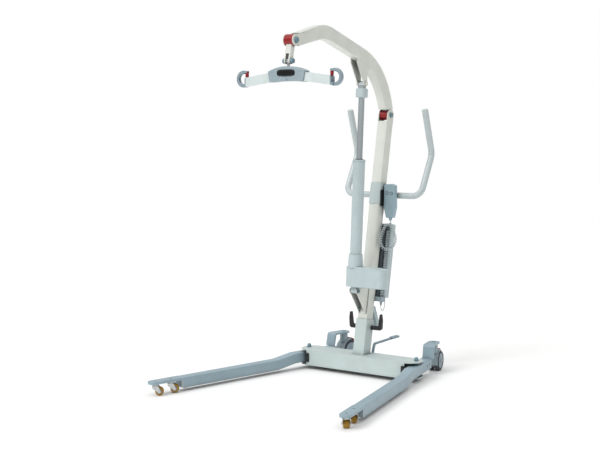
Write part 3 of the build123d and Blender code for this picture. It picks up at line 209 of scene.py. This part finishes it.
def corner_shade(tree, colour, reach, depth):
    """A colour made darker in narrow gaps and deep corners: painted shade, from an ambient occlusion node."""
    open_air = add_node(tree, "ShaderNodeAmbientOcclusion", {"samples": 6, "Distance": reach})
    # painted shade: the less open air round a point, the darker its colour
    painted_shade_amount = ramp(tree, open_air.outputs["AO"], 0.30, 0.85, depth, 0.0)
    return blend_colour(tree, painted_shade_amount, colour, (0.012, 0.018, 0.018, 1.0))


def powder_coat(name, hex_value, edge, roughness=0.38, peel_mm=1.4):
    """Powder-coated steel: sprayed and baked, so the coat has a soft orange peel and is thinner and brighter
    along edges;
    it is drawn darker in corners and gaps as painted shade. The peel is about 1 mm and is drawn a little
    coarser."""
    material, tree = new_tree(name)
    paint = linear(hex_value)
    normal, worn = round_edges(tree, edge)
    cloudy = blend_colour(tree, ramp(tree, pattern(tree, 90.0), 0.35, 0.65, 0.0, 1.0),
                          shade(paint, 0.955), shade(paint, 1.03))
    scuffs = ramp(tree, pattern(tree, 7.0, 5.0), 0.66, 0.78, 0.0, 0.22)
    scuffed = blend_colour(tree, scuffs, cloudy, shade(paint, 0.80))
    edged = blend_colour(tree, ramp(tree, worn, 0.0, 1.0, 0.0, 0.45), scuffed, shade(paint, 1.10))
    # painted shade: darker in gaps and corners, up to three quarters towards near black
    shaded = corner_shade(tree, edged, 45 * MM, 0.75)
    peel = add_node(tree, "ShaderNodeBump", {"Strength": 0.07, "Distance": 0.06 * MM},
                    {"Height": pattern(tree, peel_mm), "Normal": normal})
    gloss = ramp(tree, pattern(tree, 35.0, 4.0), 0.3, 0.7, roughness - 0.05, roughness + 0.07)
    close_tree(tree, {"IOR": 1.5, "Coat Weight": 0.15, "Coat Roughness": 0.25},
               {"Base Color": shaded, "Roughness": gloss, "Normal": peel.outputs[0]})
    return material


def moulded_abs(name, hex_value, edge, roughness=0.45, grain_mm=0.9, soil=0.93):
    """Injection-moulded ABS: a spark-eroded tool leaves an even fine grain and a soft sheen, and
    handling darkens it in faint patches. The grain is 0.4 mm and is drawn coarser so that it shows."""
    material, tree = new_tree(name)
    plastic = linear(hex_value)
    normal, worn = round_edges(tree, edge)
    handled = blend_colour(tree, ramp(tree, pattern(tree, 45.0, 3.0), 0.4, 0.7, 0.0, 1.0), plastic,
                           shade(plastic, soil))
    edged = blend_colour(tree, ramp(tree, worn, 0.0, 1.0, 0.0, 0.35), handled, shade(plastic, 1.12))
    # painted shade: darker in narrow gaps and corners
    shaded = corner_shade(tree, edged, 12 * MM, 0.6)
    grain = add_node(tree, "ShaderNodeBump", {"Strength": 0.10, "Distance": 0.05 * MM},
                     {"Height": pattern(tree, grain_mm, 1.0), "Normal": normal})
    gloss = ramp(tree, pattern(tree, 30.0, 3.0), 0.3, 0.7, roughness - 0.06, roughness + 0.06)
    close_tree(tree, {"IOR": 1.53}, {"Base Color": shaded, "Roughness": gloss, "Normal": grain.outputs[0]})
    return material


def zinc_plate(name, hex_value, edge):
    """Bright zinc-plated pressed steel: a bluish shine with soft clouds and fine rolling lines."""
    material, tree = new_tree(name)
    metal = linear(hex_value)
    normal, _ = round_edges(tree, edge)
    cloudy = ramp(tree, pattern(tree, 9.0, 4.0), 0.35, 0.65, 0.0, 1.0)
    clouds = blend_colour(tree, cloudy, shade(metal, 0.84), metal)
    lines = add_node(tree, "ShaderNodeBump", {"Strength": 0.12, "Distance": 0.05 * MM},
                     {"Height": pattern(tree, 0.8, 2.0, (1, 1, 0.08)), "Normal": normal})
    gloss = ramp(tree, pattern(tree, 5.0, 3.0), 0.3, 0.7, 0.22, 0.38)
    close_tree(tree, {"Metallic": 1.0},
               {"Base Color": clouds, "Roughness": gloss, "Normal": lines.outputs[0]})
    return material


def hard_chrome(name, hex_value):
    """Ground and hard-chromed rod: near mirror, with hair-fine grinding rings round it."""
    material, tree = new_tree(name)
    rings = add_node(tree, "ShaderNodeBump", {"Strength": 0.06, "Distance": 0.03 * MM},
                     {"Height": pattern(tree, 1.0, 2.0, (0.05, 0.05, 1))})
    gloss = ramp(tree, pattern(tree, 22.0, 3.0), 0.3, 0.7, 0.10, 0.18)
    close_tree(tree, {"Base Color": linear(hex_value), "Metallic": 1.0},
               {"Roughness": gloss, "Normal": rings.outputs[0]})
    return material


def vulcanised_rubber(name, hex_value, edge, bloom=1.7):
    """Vulcanised rubber: dull and soft, with a grey bloom and floor dust in faint patches."""
    material, tree = new_tree(name)
    rubber = linear(hex_value)
    normal, _ = round_edges(tree, edge)
    dusty = blend_colour(tree, ramp(tree, pattern(tree, 6.0, 5.0), 0.45, 0.75, 0.0, 1.0), rubber,
                         shade(rubber, bloom))
    skin = add_node(tree, "ShaderNodeBump", {"Strength": 0.25, "Distance": 0.10 * MM},
                    {"Height": pattern(tree, 0.9, 2.0), "Normal": normal})
    close_tree(tree, {"IOR": 1.52, "Roughness": 0.68}, {"Base Color": dusty, "Normal": skin.outputs[0]})
    return material


def cast_polyurethane(name, hex_value):
    """Cast polyurethane tread: honey-coloured and slightly see-through, so light glows inside it."""
    material, tree = new_tree(name)
    amber = linear(hex_value)
    cloudy = ramp(tree, pattern(tree, 8.0, 3.0), 0.35, 0.7, 0.0, 1.0)
    depth = blend_colour(tree, cloudy, amber, shade(amber, 0.72))
    skin = add_node(tree, "ShaderNodeBump", {"Strength": 0.15, "Distance": 0.08 * MM},
                    {"Height": pattern(tree, 1.2, 2.0)})
    close_tree(tree, {"IOR": 1.5, "Roughness": 0.32, "Subsurface Weight": 0.15, "Subsurface Scale": 4 * MM,
                      "Subsurface Radius": (1.0, 0.55, 0.15)},
               {"Base Color": depth, "Normal": skin.outputs[0]})
    return material


def studio_paper(name, hex_value):
    """Matt white paper sweep under the object."""
    material, tree = new_tree(name)
    paper = linear(hex_value)
    tone = blend_colour(tree, ramp(tree, pattern(tree, 400.0), 0.3, 0.7, 0.0, 1.0), paper, shade(paper, 0.99))
    close_tree(tree, {"Roughness": 0.9}, {"Base Color": tone})
    return material


# ---- meshes -------------------------------------------------------------------------------
def grid_faces(rows, columns, close_rows, close_columns):
    """Quads between neighbours of a grid of points, joined round where a direction closes."""
    i, j = np.meshgrid(np.arange(rows if close_rows else rows - 1),
                       np.arange(columns if close_columns else columns - 1), indexing="ij")
    i, j = i.ravel(), j.ravel()
    after_i, after_j = (i + 1) % rows, (j + 1) % columns
    corners = ((i, j), (after_i, j), (after_i, after_j), (i, after_j))
    return np.stack([row * columns + column for row, column in corners], 1)


def surface(name, points, close_rows, close_columns, material, body):
    """A smooth piece from a grid of points, its doubled points merged and its faces turned outwards."""
    rows, columns = points.shape[:2]
    mesh = bpy.data.meshes.new(name)
    faces = grid_faces(rows, columns, close_rows, close_columns)
    mesh.from_pydata(points.reshape(-1, 3).tolist(), [], faces.tolist())
    solid = bmesh.new()
    solid.from_mesh(mesh)
    bmesh.ops.remove_doubles(solid, verts=solid.verts, dist=1e-6)
    bmesh.ops.dissolve_degenerate(solid, edges=solid.edges, dist=1e-7)
    bmesh.ops.recalc_face_normals(solid, faces=solid.faces)
    solid.to_mesh(mesh)
    solid.free()
    mesh.shade_smooth()
    mesh.set_sharp_from_angle(angle=radians(38))
    mesh.materials.append(material)
    piece = bpy.data.objects.new(name, mesh)
    bpy.context.scene.collection.objects.link(piece)
    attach(piece, body)
    return piece


def square_to(axis):
    """Two unit vectors square to an axis and to each other."""
    along = np.array(axis, float) / np.linalg.norm(axis)
    helper = np.array((0.0, 0.0, 1.0)) if abs(along[2]) < 0.9 else np.array((1.0, 0.0, 0.0))
    first = np.cross(helper, along)
    first /= np.linalg.norm(first)
    return along, first, np.cross(along, first)


def turned(profile, origin, axis, steps, lift=None):
    """A profile of (radius, distance) points in millimetres carried round an axis: each point is the
    origin plus the distance along the axis plus the radius in the turned direction. The lift adds to
    the distance a height that depends on the angle and the radius."""
    along, first, second = square_to(axis)
    angle = np.linspace(0, 2 * pi, steps, endpoint=False)[:, None]
    radius, distance = (np.array(column, float)[None, :] for column in zip(*profile))
    height = distance + (lift(angle, radius, distance) if lift else 0.0)
    height, radius, angle = np.broadcast_arrays(height, radius, angle)
    outward = np.cos(angle)[..., None] * first + np.sin(angle)[..., None] * second
    return np.array(origin, float) + MM * (height[..., None] * along + radius[..., None] * outward)


def arc(centre, radius, start, end, steps=6):
    """Points in millimetres on an arc between two angles in degrees."""
    angles = np.radians(np.linspace(start, end, steps))
    return [(centre[0] + radius * cos(a), centre[1] + radius * sin(a)) for a in angles]


def pillow(centre, half, axes, square=(0.35, 0.35), steps=(28, 16)):
    """A rounded block: a superellipsoid, whose cosines and sines are raised to small powers, so that
    it is flat on its sides and soft at its edges. Sizes are in millimetres."""
    around = np.linspace(0, 2 * pi, steps[0], endpoint=False)[:, None]
    up = np.linspace(-pi / 2, pi / 2, steps[1])[None, :]

    def power(wave, amount):
        return np.sign(wave) * np.abs(wave) ** amount

    flat = power(np.cos(up), square[1])
    x = half[0] * flat * power(np.cos(around), square[0])
    y = half[1] * flat * power(np.sin(around), square[0])
    z = half[2] * power(np.sin(up), square[1]) + 0 * around
    axes = [np.array(axis, float) / np.linalg.norm(axis) for axis in axes]
    return np.array(centre, float) + MM * sum(part[..., None] * axis for part, axis in zip((x, y, z), axes))


def axle_of(joint_name):
    joint = joints[joint_name]
    return np.array(joint["pos_m"], float), np.array(joint["axis"], float)


def route_curve(name, route, resolution):
    """A smooth spline whose control points are the route."""
    curve = bpy.data.curves.new(name, "CURVE")
    curve.dimensions = "3D"
    spline = curve.splines.new("NURBS")
    spline.points.add(len(route) - 1)
    spline.points.foreach_set("co", np.c_[np.array(route), np.ones(len(route))].ravel())
    spline.order_u = 3
    spline.use_endpoint_u = True
    spline.resolution_u = resolution
    return curve


def read_line(curve):
    """The points of a curve with no bevel, in order."""
    holder = bpy.data.objects.new(curve.name, curve)
    bpy.context.scene.collection.objects.link(holder)
    bpy.context.view_layer.update()
    line = bpy.data.meshes.new_from_object(holder)
    points = np.zeros(len(line.vertices) * 3)
    line.vertices.foreach_get("co", points)
    bpy.data.meshes.remove(line)
    bpy.data.objects.remove(holder)
    return points.reshape(-1, 3)


def walk(points, step):
    """The same line as evenly spaced points, with the distance walked to each."""
    runs = np.r_[0, np.cumsum(np.linalg.norm(np.diff(points, axis=0), axis=1))]
    distance = np.linspace(0, runs[-1], max(8, int(runs[-1] / step)))
    return np.stack([np.interp(distance, runs, points[:, k]) for k in range(3)], 1), distance


# ---- finishes of the CAD nodes ------------------------------------------------------------
def in_pairs(*names):
    return [f"{name}_{side}" for name in names for side, _ in SIDES]


FINISHES = {
    "mast_coat": ["mast", "boom", "actuator_foot_bracket", "actuator_head_bracket", "hanger_link"],
    "beam_coat": ["crossbeam", "mast_socket", "handle_clamp"],
    "arm_coat": ["spreader_arms"],
    "leg_coat": ["foot_lever", *in_pairs("leg", "castor_bracket")],
    "handle_coat": ["handlebar"],
    "housing_abs": ["motor_housing", "actuator_tube", "battery_pack", "charge_socket", "rod_collar"],
    # control box: dark as painted shade in the gap behind the mast
    "shade_dark_abs": ["control_box"],
    "handset_abs": ["handset", "handset_button_up", "handset_button_down"],
    "grey_abs": ["spreader_cover", "connector_block", *in_pairs("leg_end_plug", "rear_castor_housing")],
    "hook_coat": ["sling_hooks"],
    "cap_nylon": ["boom_hinge_pin", "boom_tip_pin", "actuator_foot_pin", "pivot_bolts", "link_bolt"],
    "zinc": ["swivel_stem", *in_pairs("front_castor_fork_tip", "front_castor_fork_mid")],
    "chrome": ["actuator_rod"],
    "red_abs": ["link_barrel", "boom_heel_barrel", "emergency_stop", *in_pairs("brake_pedal", "sling_latch")],
    "black_nylon": ["handset_bracket", *in_pairs("clamp_lever")],
}


def make_finishes(colours, edge):
    """Every material of the object, by its short name."""
    return {
        "mast_coat": powder_coat("powder_coat_ivory", colours.mast, edge),
        "beam_coat": powder_coat("powder_coat_silver", colours.beam, edge),
        "arm_coat": powder_coat("powder_coat_white", colours.arm, edge),
        "leg_coat": powder_coat("powder_coat_blue_grey", colours.leg, edge, 0.42),
        "handle_coat": powder_coat("powder_coat_white_silver", colours.handle, edge, 0.26),
        "hook_coat": powder_coat("powder_coat_hook_grey", colours.hook, edge, 0.36),
        "housing_abs": moulded_abs("moulded_abs_housing", colours.housing, edge),
        "shade_dark_abs": moulded_abs("moulded_abs_painted_shade", colours.control_box_shade, edge),
        "handset_abs": moulded_abs("moulded_abs_handset", colours.handset, edge, 0.40),
        "grey_abs": moulded_abs("moulded_abs_grey", colours.grey, edge, 0.40),
        "cap_nylon": moulded_abs("moulded_nylon_caps", colours.cap, edge, 0.38),
        "red_abs": moulded_abs("moulded_abs_red", colours.red, edge, 0.30, 1.1, 0.85),
        "black_nylon": moulded_abs("moulded_nylon_black", colours.black, edge, 0.42, 1.0, 1.5),
        "black_gloss": moulded_abs("moulded_acrylic_black", colours.black, edge, 0.16, 1.4, 1.2),
        "rubber": vulcanised_rubber("vulcanised_rubber", colours.rubber, edge),
        "tread": vulcanised_rubber("rubber_tread", colours.tread, edge, 1.4),
        "disc": moulded_abs("moulded_nylon_disc", colours.disc, edge, 0.42),
        "amber": cast_polyurethane("cast_polyurethane", colours.amber),
        "cord": moulded_abs("extruded_pvc_cord", colours.cord, edge, 0.42, 1.2, 0.9),
        "zinc": zinc_plate("zinc_plated_steel", colours.zinc, edge),
        "chrome": hard_chrome("hard_chrome", colours.chrome),
    }


finishes = {}


class HOIST_OT_finish_frame(bpy.types.Operator):
    """Gives every CAD node that stays in view its own finish"""
    bl_idname = "hoist.finish_frame"
    bl_label = "Finish the frame"

    def execute(self, context):
        finishes.update(make_finishes(context.scene.hoist_colours, context.scene.hoist_sizes.edge))
        for finish, nodes in FINISHES.items():
            for node in nodes:
                frame["nodes"][node].data.materials.clear()
                frame["nodes"][node].data.materials.append(finishes[finish])
        return {"FINISHED"}


class HOIST_OT_rear_wheels(bpy.types.Operator):
    """Twin rear wheels: a ribbed nylon disc inside a rubber tread, both turned about the axle"""
    bl_idname = "hoist.rear_wheels"
    bl_label = "Rear wheels"

    def execute(self, context):
        steps = context.scene.hoist_sizes.turn_steps
        near, far, rim = 7.0, 32.0, 50.0

        def ribs(angle, radius, distance):
            """Six shallow pockets between the hub and the rim of the outer face, as raised cosines."""
            window = np.clip(1 - np.abs(radius - 25.5) / 7.5, 0, 1)
            pocket = np.clip(np.cos(6 * angle) + 0.55, 0, 1)
            return np.where(distance > far - 8, -2.2 * np.sqrt(window) * pocket, 0.0)

        tread = [(36.8, near + 0.6), (47.6, near + 0.2), (49.4, near + 0.8), (rim, near + 2.6),
                 (rim, far - 11.0), *arc((39.0, far - 11.2), 10.9, 78, 8, 8), (38.6, far - 1.6),
                 (36.8, far - 3.4)]
        face = [(18.0 + k * 1.25, far - 2.2 - 0.10 * k) for k in range(13)]
        disc = [(5.4, near + 0.5), (36.9, near + 0.5), (36.9, far - 3.0), (35.6, far - 2.6),
                (34.4, far - 3.4), *reversed(face), (15.6, far - 2.0), (14.6, far - 0.9),
                (13.2, far - 0.3), (5.4, far - 0.3)]
        for side, _ in SIDES:
            centre, axis = axle_of(f"rear_wheel_roll_{side}")
            for hand, label in ((1, "outer"), (-1, "inner")):
                wheel = f"rear_wheel_{label}_{side}"
                body = f"rear_wheels_{side}"
                rubber = surface(f"{wheel}_tread", turned(tread, centre, hand * axis, steps), True, True,
                                 finishes["tread"], body)
                surface(f"{wheel}_disc", turned(disc, centre, hand * axis, steps * 2, ribs), True, True,
                        finishes["disc"], body)
            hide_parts(f"rear_castor_wheels_{side}")
        return {"FINISHED"}


class HOIST_OT_front_wheels(bpy.types.Operator):
    """Front wheels: a crowned polyurethane tread cast on a nylon core"""
    bl_idname = "hoist.front_wheels"
    bl_label = "Front wheels"

    def execute(self, context):
        steps = context.scene.hoist_sizes.turn_steps
        half = 13.9
        crown = [(19.95 - 1.7 * (x / half) ** 2, x) for x in np.linspace(-half + 3, half - 3, 9)]
        tread = [(11.2, -half + 0.5), (15.5, -half + 0.1), (17.7, -half + 1.0), *crown, (17.7, half - 1.0),
                 (15.5, half - 0.1), (11.2, half - 0.5)]
        core = [(4.3, -half), (8.0, -half), (9.0, -half + 1.2), (11.3, -half + 1.2), (11.3, half - 1.2),
                (9.0, half - 1.2), (8.0, half), (4.3, half)]
        for place in ("tip", "mid"):
            for side, _ in SIDES:
                centre, axis = axle_of(f"front_wheel_roll_{place}_{side}")
                body = f"front_wheel_{place}_{side}"
                wheel = surface(f"front_tread_{place}_{side}", turned(tread, centre, axis, steps), True, True,
                                finishes["amber"], body)
                surface(f"front_core_{place}_{side}", turned(core, centre, axis, steps), True, True,
                        finishes["disc"], body)
                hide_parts(f"front_castor_wheel_{place}_{side}")
        return {"FINISHED"}


CURLY_ROUTE = [
    (0.0680, 0.4695, 0.7450), (0.0680, 0.4695, 0.7160), (0.0860, 0.4805, 0.6840),
    (0.0930, 0.4835, 0.6460), (0.0840, 0.4695, 0.6100), (0.0640, 0.4385, 0.5980),
    (0.0460, 0.4135, 0.6210), (0.0440, 0.4155, 0.6600), (0.0470, 0.4345, 0.6940),
    (0.0490, 0.4538, 0.7211), (0.0490, 0.4719, 0.7237), (0.0490, 0.4846, 0.7106),
    (0.0490, 0.4135, 0.3695),
]


class HOIST_OT_handset_cord(bpy.types.Operator):
    """Curly cord: a wire wound round its route, with a straight tail at each end"""
    bl_idname = "hoist.handset_cord"
    bl_label = "Handset cord"

    def execute(self, context):
        sizes = context.scene.hoist_sizes
        line = read_line(route_curve("handset_cord_line", CURLY_ROUTE, 24))
        points, distance = walk(line, sizes.coil_pitch / 22)
        tangent = np.gradient(points, distance, axis=0)
        tangent /= np.linalg.norm(tangent, axis=1)[:, None]
        first = np.cross(tangent, (1.0, 0.0, 0.0))
        first /= np.linalg.norm(first, axis=1)[:, None]
        second = np.cross(tangent, first)
        # the coil's radius grows from nothing over the tails
        tail = np.clip(np.minimum(distance, distance[-1] - distance) / (16 * MM), 0, 1)
        coil = (sizes.coil_outer - sizes.coil_wire) / 2 * tail * tail * (3 - 2 * tail)
        phase = 2 * pi * distance / sizes.coil_pitch
        radial = np.cos(phase)[:, None] * first + np.sin(phase)[:, None] * second
        helix = points + coil[:, None] * radial
        way = np.gradient(helix, axis=0)
        way /= np.linalg.norm(way, axis=1)[:, None]
        across = np.cross(way, radial)
        across /= np.linalg.norm(across, axis=1)[:, None]
        outward = np.cross(across, way)
        angle = np.linspace(0, 2 * pi, 10, endpoint=False)[None, :, None]
        wire = sizes.coil_wire / 2
        ring = helix[:, None] + wire * (np.cos(angle) * outward[:, None] + np.sin(angle) * across[:, None])
        ends = [np.repeat(helix[k][None, None], 10, 1) for k in (0, -1)]
        cord = surface("curly_cord", np.concatenate([ends[0], ring, ends[1]]), False, True, finishes["cord"],
                       "mast")
        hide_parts("handset_cord")
        print("curly cord length", round(float(distance[-1]), 4))
        return {"FINISHED"}


LEAD_ROUTE = [
    (0.0500, 0.4120, 0.3291), (0.0500, 0.4130, 0.3000), (0.0500, 0.4493, 0.3010),
    (0.0500, 0.4513, 0.3624),
]


class HOIST_OT_motor_lead(bpy.types.Operator):
    """The motor's thin lead, from the connector block into the battery box"""
    bl_idname = "hoist.motor_lead"
    bl_label = "Motor lead"

    def execute(self, context):
        diameter = context.scene.hoist_sizes.lead_diameter
        curve = route_curve("motor_lead_line", LEAD_ROUTE, 16)
        line, distance = walk(read_line(curve), 1 * MM)
        curve.bevel_depth = diameter / 2
        curve.bevel_resolution = 6
        curve.use_fill_caps = True
        curve.materials.append(finishes["cord"])
        lead = bpy.data.objects.new("motor_lead_wire", curve)
        context.scene.collection.objects.link(lead)
        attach(lead, "mast")
        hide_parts("motor_lead")
        print("motor lead length", round(float(distance[-1]), 4))
        return {"FINISHED"}


class HOIST_OT_badge(bpy.types.Operator):
    """Blank black badge in the sling bar cover: a stadium outline that rises to a soft dome"""
    bl_idname = "hoist.badge"
    bl_label = "Blank badge"

    def execute(self, context):
        low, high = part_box("spreader_cover")
        front = low.y + RECESS_DEPTH
        middle_z = low.z + BADGE_HEIGHT
        half_long, half_high, rise = 47.6, 14.4, 1.3
        around = np.linspace(0, 2 * pi, 96, endpoint=False)[:, None]
        inward = np.linspace(0, 1, 14)[None, :]
        straight = half_long - half_high
        x = (straight * np.clip(np.cos(around) * 1.6, -1, 1) + half_high * np.cos(around)) * inward
        z = half_high * np.sin(around) * inward
        height = rise * (1 - inward ** 8) + 0 * around
        face = np.stack([x * MM, front - height * MM, middle_z + z * MM], -1)
        surface("badge_blank", face, True, False, finishes["black_gloss"], "spreader")
        return {"FINISHED"}


class HOIST_OT_leg_buffers(bpy.types.Operator):
    """Rubber buffers on the front wall of the crossbeam, where the opened legs rest"""
    bl_idname = "hoist.leg_buffers"
    bl_label = "Leg buffers"

    def execute(self, context):
        low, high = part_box("crossbeam")
        for side, sign in SIDES:
            centre = (sign * 0.272, low.y - 2.5 * MM, (low.z + high.z) / 2)
            block = pillow(centre, (8.0, 3.6, 22.0), ((1, 0, 0), (0, 1, 0), (0, 0, 1)), (0.4, 0.3))
            surface(f"leg_buffer_{side}", block, True, False, finishes["rubber"], "base")
        return {"FINISHED"}


class HOIST_OT_handset_trim(bpy.types.Operator):
    """Handset trim: a bezel ring round each button and a signal lamp"""
    bl_idname = "hoist.handset_trim"
    bl_label = "Handset trim"

    def execute(self, context):
        steps = context.scene.hoist_sizes.turn_steps
        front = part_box("handset")[0].y
        bezel = [(6.5, 0.0), (6.5, 0.5), (6.9, 0.9), (7.7, 0.9), (8.3, 0.4), (8.4, -0.2), (6.5, -0.2)]
        for button in ("up", "down"):
            low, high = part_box(f"handset_button_{button}")
            centre = ((low.x + high.x) / 2, front, (low.z + high.z) / 2)
            surface(f"button_bezel_{button}", turned(bezel, centre, (0, -1, 0), steps), True, True,
                    finishes["black_nylon"], "mast")
        low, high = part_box("handset")
        lamp = [(0.0, 0.7), (1.0, 0.6), (1.7, 0.2), (1.9, -0.2), (0.0, -0.2)]
        centre = ((low.x + high.x) / 2, front, high.z - 22 * MM)
        surface("handset_lamp", turned(lamp, centre, (0, -1, 0), 32), True, False, finishes["chrome"], "mast")
        return {"FINISHED"}


class HOIST_OT_box_trim(bpy.types.Operator):
    """Back of the battery: five grip ribs below the finger hold, and four cover screws on the box"""
    bl_idname = "hoist.box_trim"
    bl_label = "Battery ribs and screws"

    def execute(self, context):
        up = np.array((0.0, sin(MAST_LEAN), cos(MAST_LEAN)))
        back = np.array((0.0, cos(MAST_LEAN), -sin(MAST_LEAN)))
        face = np.array(MAST_FOOT) + BATTERY_BACK * back
        for k in range(5):
            centre = face + up * (0.470 + 0.018 * k)
            rib = pillow(centre, (34.0, 1.5, 2.2), ((1, 0, 0), back, up), (0.5, 0.6))
            surface(f"battery_rib_{k + 1}", rib, True, False, finishes["housing_abs"], "mast")
        screw = [(0.0, 0.2), (1.6, 0.2), (1.7, 1.3), (3.0, 1.1), (3.5, 0.5), (3.6, -0.4), (0.0, -0.4)]
        corners = ((-0.050, 0.302), (0.050, 0.302), (-0.050, 0.632), (0.050, 0.632))
        for number, (across, height) in enumerate(corners):
            centre = face + up * height + np.array((across, 0, 0))
            surface(f"battery_screw_{number + 1}", turned(screw, centre, back, 32), True, False,
                    finishes["zinc"], "mast")
        return {"FINISHED"}


class HOIST_OT_rod_wiper(bpy.types.Operator):
    """Rubber wiper lip where the rod leaves the actuator's tube"""
    bl_idname = "hoist.rod_wiper"
    bl_label = "Rod wiper"

    def execute(self, context):
        axis = np.array(joints["actuator_extend"]["axis"], float)
        foot = np.array(joints["actuator_tilt"]["pos_m"], float)
        top = foot + axis * TUBE_TOP
        lip = [(14.9, -0.5), (24.0, -0.5), (24.0, 1.2), (20.0, 1.8), (17.0, 4.2), (15.4, 4.6), (14.9, 4.0)]
        surface("rod_wiper", turned(lip, top, axis, context.scene.hoist_sizes.turn_steps), True, True,
                finishes["rubber"], "actuator")
        return {"FINISHED"}


class HOIST_OT_stage(bpy.types.Operator):
    """Paper floor, soft studio lights and the camera"""
    bl_idname = "hoist.stage"
    bl_label = "Stage"

    def execute(self, context):
        scene, stage = context.scene, context.scene.hoist_stage
        x, y = np.meshgrid(np.linspace(-9, 9, 25), np.linspace(-9, 9, 25), indexing="ij")
        mesh = bpy.data.meshes.new("studio_floor")
        mesh.from_pydata(np.stack([x, y, 0 * x - 0.0005], -1).reshape(-1, 3).tolist(), [],
                         grid_faces(25, 25, False, False).tolist())
        mesh.materials.append(studio_paper("studio_paper", scene.hoist_colours.floor))
        floor = bpy.data.objects.new("studio_floor", mesh)
        scene.collection.objects.link(floor)

        # white dome that shines brighter overhead than at the horizon
        world = bpy.data.worlds.new("studio_world")
        world.use_nodes = True
        tree = world.node_tree
        tree.nodes.clear()
        way = add_node(tree, "ShaderNodeTexCoord").outputs["Generated"]
        height = add_node(tree, "ShaderNodeSeparateXYZ", links={0: way}).outputs["Z"]
        glow = add_node(tree, "ShaderNodeBackground", {"Color": (1.0, 1.0, 1.0, 1.0)},
                        {"Strength": ramp(tree, height, -0.1, 0.9, stage.sky_low, stage.sky_high)})
        paper = add_node(tree, "ShaderNodeBackground", {"Color": (1.0, 1.0, 1.0, 1.0), "Strength": 1.0})
        seen = add_node(tree, "ShaderNodeLightPath").outputs["Is Camera Ray"]
        dome = add_node(tree, "ShaderNodeMixShader", links={0: seen, 1: glow.outputs[0], 2: paper.outputs[0]})
        add_node(tree, "ShaderNodeOutputWorld", links={"Surface": dome.outputs[0]})
        scene.world = world
        scene.view_settings.view_transform = "Standard"

        middle = Vector(stage.aim)
        key = bpy.data.lights.new("key_light", "SUN")
        key.energy = stage.key_strength
        key.angle = radians(25)
        lamp = bpy.data.objects.new("key_light", key)
        lamp.location = (-1.3, -3.6, 4.0)
        lamp.rotation_euler = (middle - lamp.location).to_track_quat("-Z", "Y").to_euler()
        scene.collection.objects.link(lamp)

        back = Vector((sin(stage.azimuth) * cos(stage.elevation), -cos(stage.azimuth) * cos(stage.elevation),
                       sin(stage.elevation)))
        right = Vector((cos(stage.azimuth), sin(stage.azimuth), 0.0))
        turn = Matrix((right, back.cross(right), back)).transposed()
        lens = bpy.data.cameras.new("studio_camera")
        lens.lens = stage.lens
        lens.sensor_width = 36.0
        camera = bpy.data.objects.new("studio_camera", lens)
        camera.matrix_world = Matrix.Translation(middle + back * stage.distance) @ turn.to_4x4()
        scene.collection.objects.link(camera)
        scene.camera = camera
        return {"FINISHED"}


STEPS = ("finish_frame", "rear_wheels", "front_wheels", "handset_cord", "motor_lead", "badge", "leg_buffers",
         "handset_trim", "box_trim", "rod_wiper", "stage")


class HOIST_PT_panel(bpy.types.Panel):
    """Lists the hoist's pieces in the sidebar"""
    bl_idname = "HOIST_PT_panel"
    bl_label = "Patient lift hoist"
    bl_space_type = "VIEW_3D"
    bl_region_type = "UI"
    bl_category = "Hoist"

    def draw(self, context):
        for step in STEPS:
            self.layout.operator(f"hoist.{step}")


CLASSES = (
    HoistColours, HoistSizes, HoistStage, HOIST_OT_finish_frame, HOIST_OT_rear_wheels,
    HOIST_OT_front_wheels, HOIST_OT_handset_cord, HOIST_OT_motor_lead, HOIST_OT_badge,
    HOIST_OT_leg_buffers, HOIST_OT_handset_trim, HOIST_OT_box_trim, HOIST_OT_rod_wiper,
    HOIST_OT_stage, HOIST_PT_panel,
)


def register():
    for item in CLASSES:
        bpy.utils.register_class(item)
    bpy.types.Scene.hoist_colours = PointerProperty(type=HoistColours)
    bpy.types.Scene.hoist_sizes = PointerProperty(type=HoistSizes)
    bpy.types.Scene.hoist_stage = PointerProperty(type=HoistStage)


def unregister():
    del bpy.types.Scene.hoist_stage
    del bpy.types.Scene.hoist_sizes
    del bpy.types.Scene.hoist_colours
    for item in reversed(CLASSES):
        bpy.utils.unregister_class(item)


def main():
    register()
    for step in STEPS:
        getattr(bpy.ops.hoist, step)()


if __name__ == "__main__":
    main()
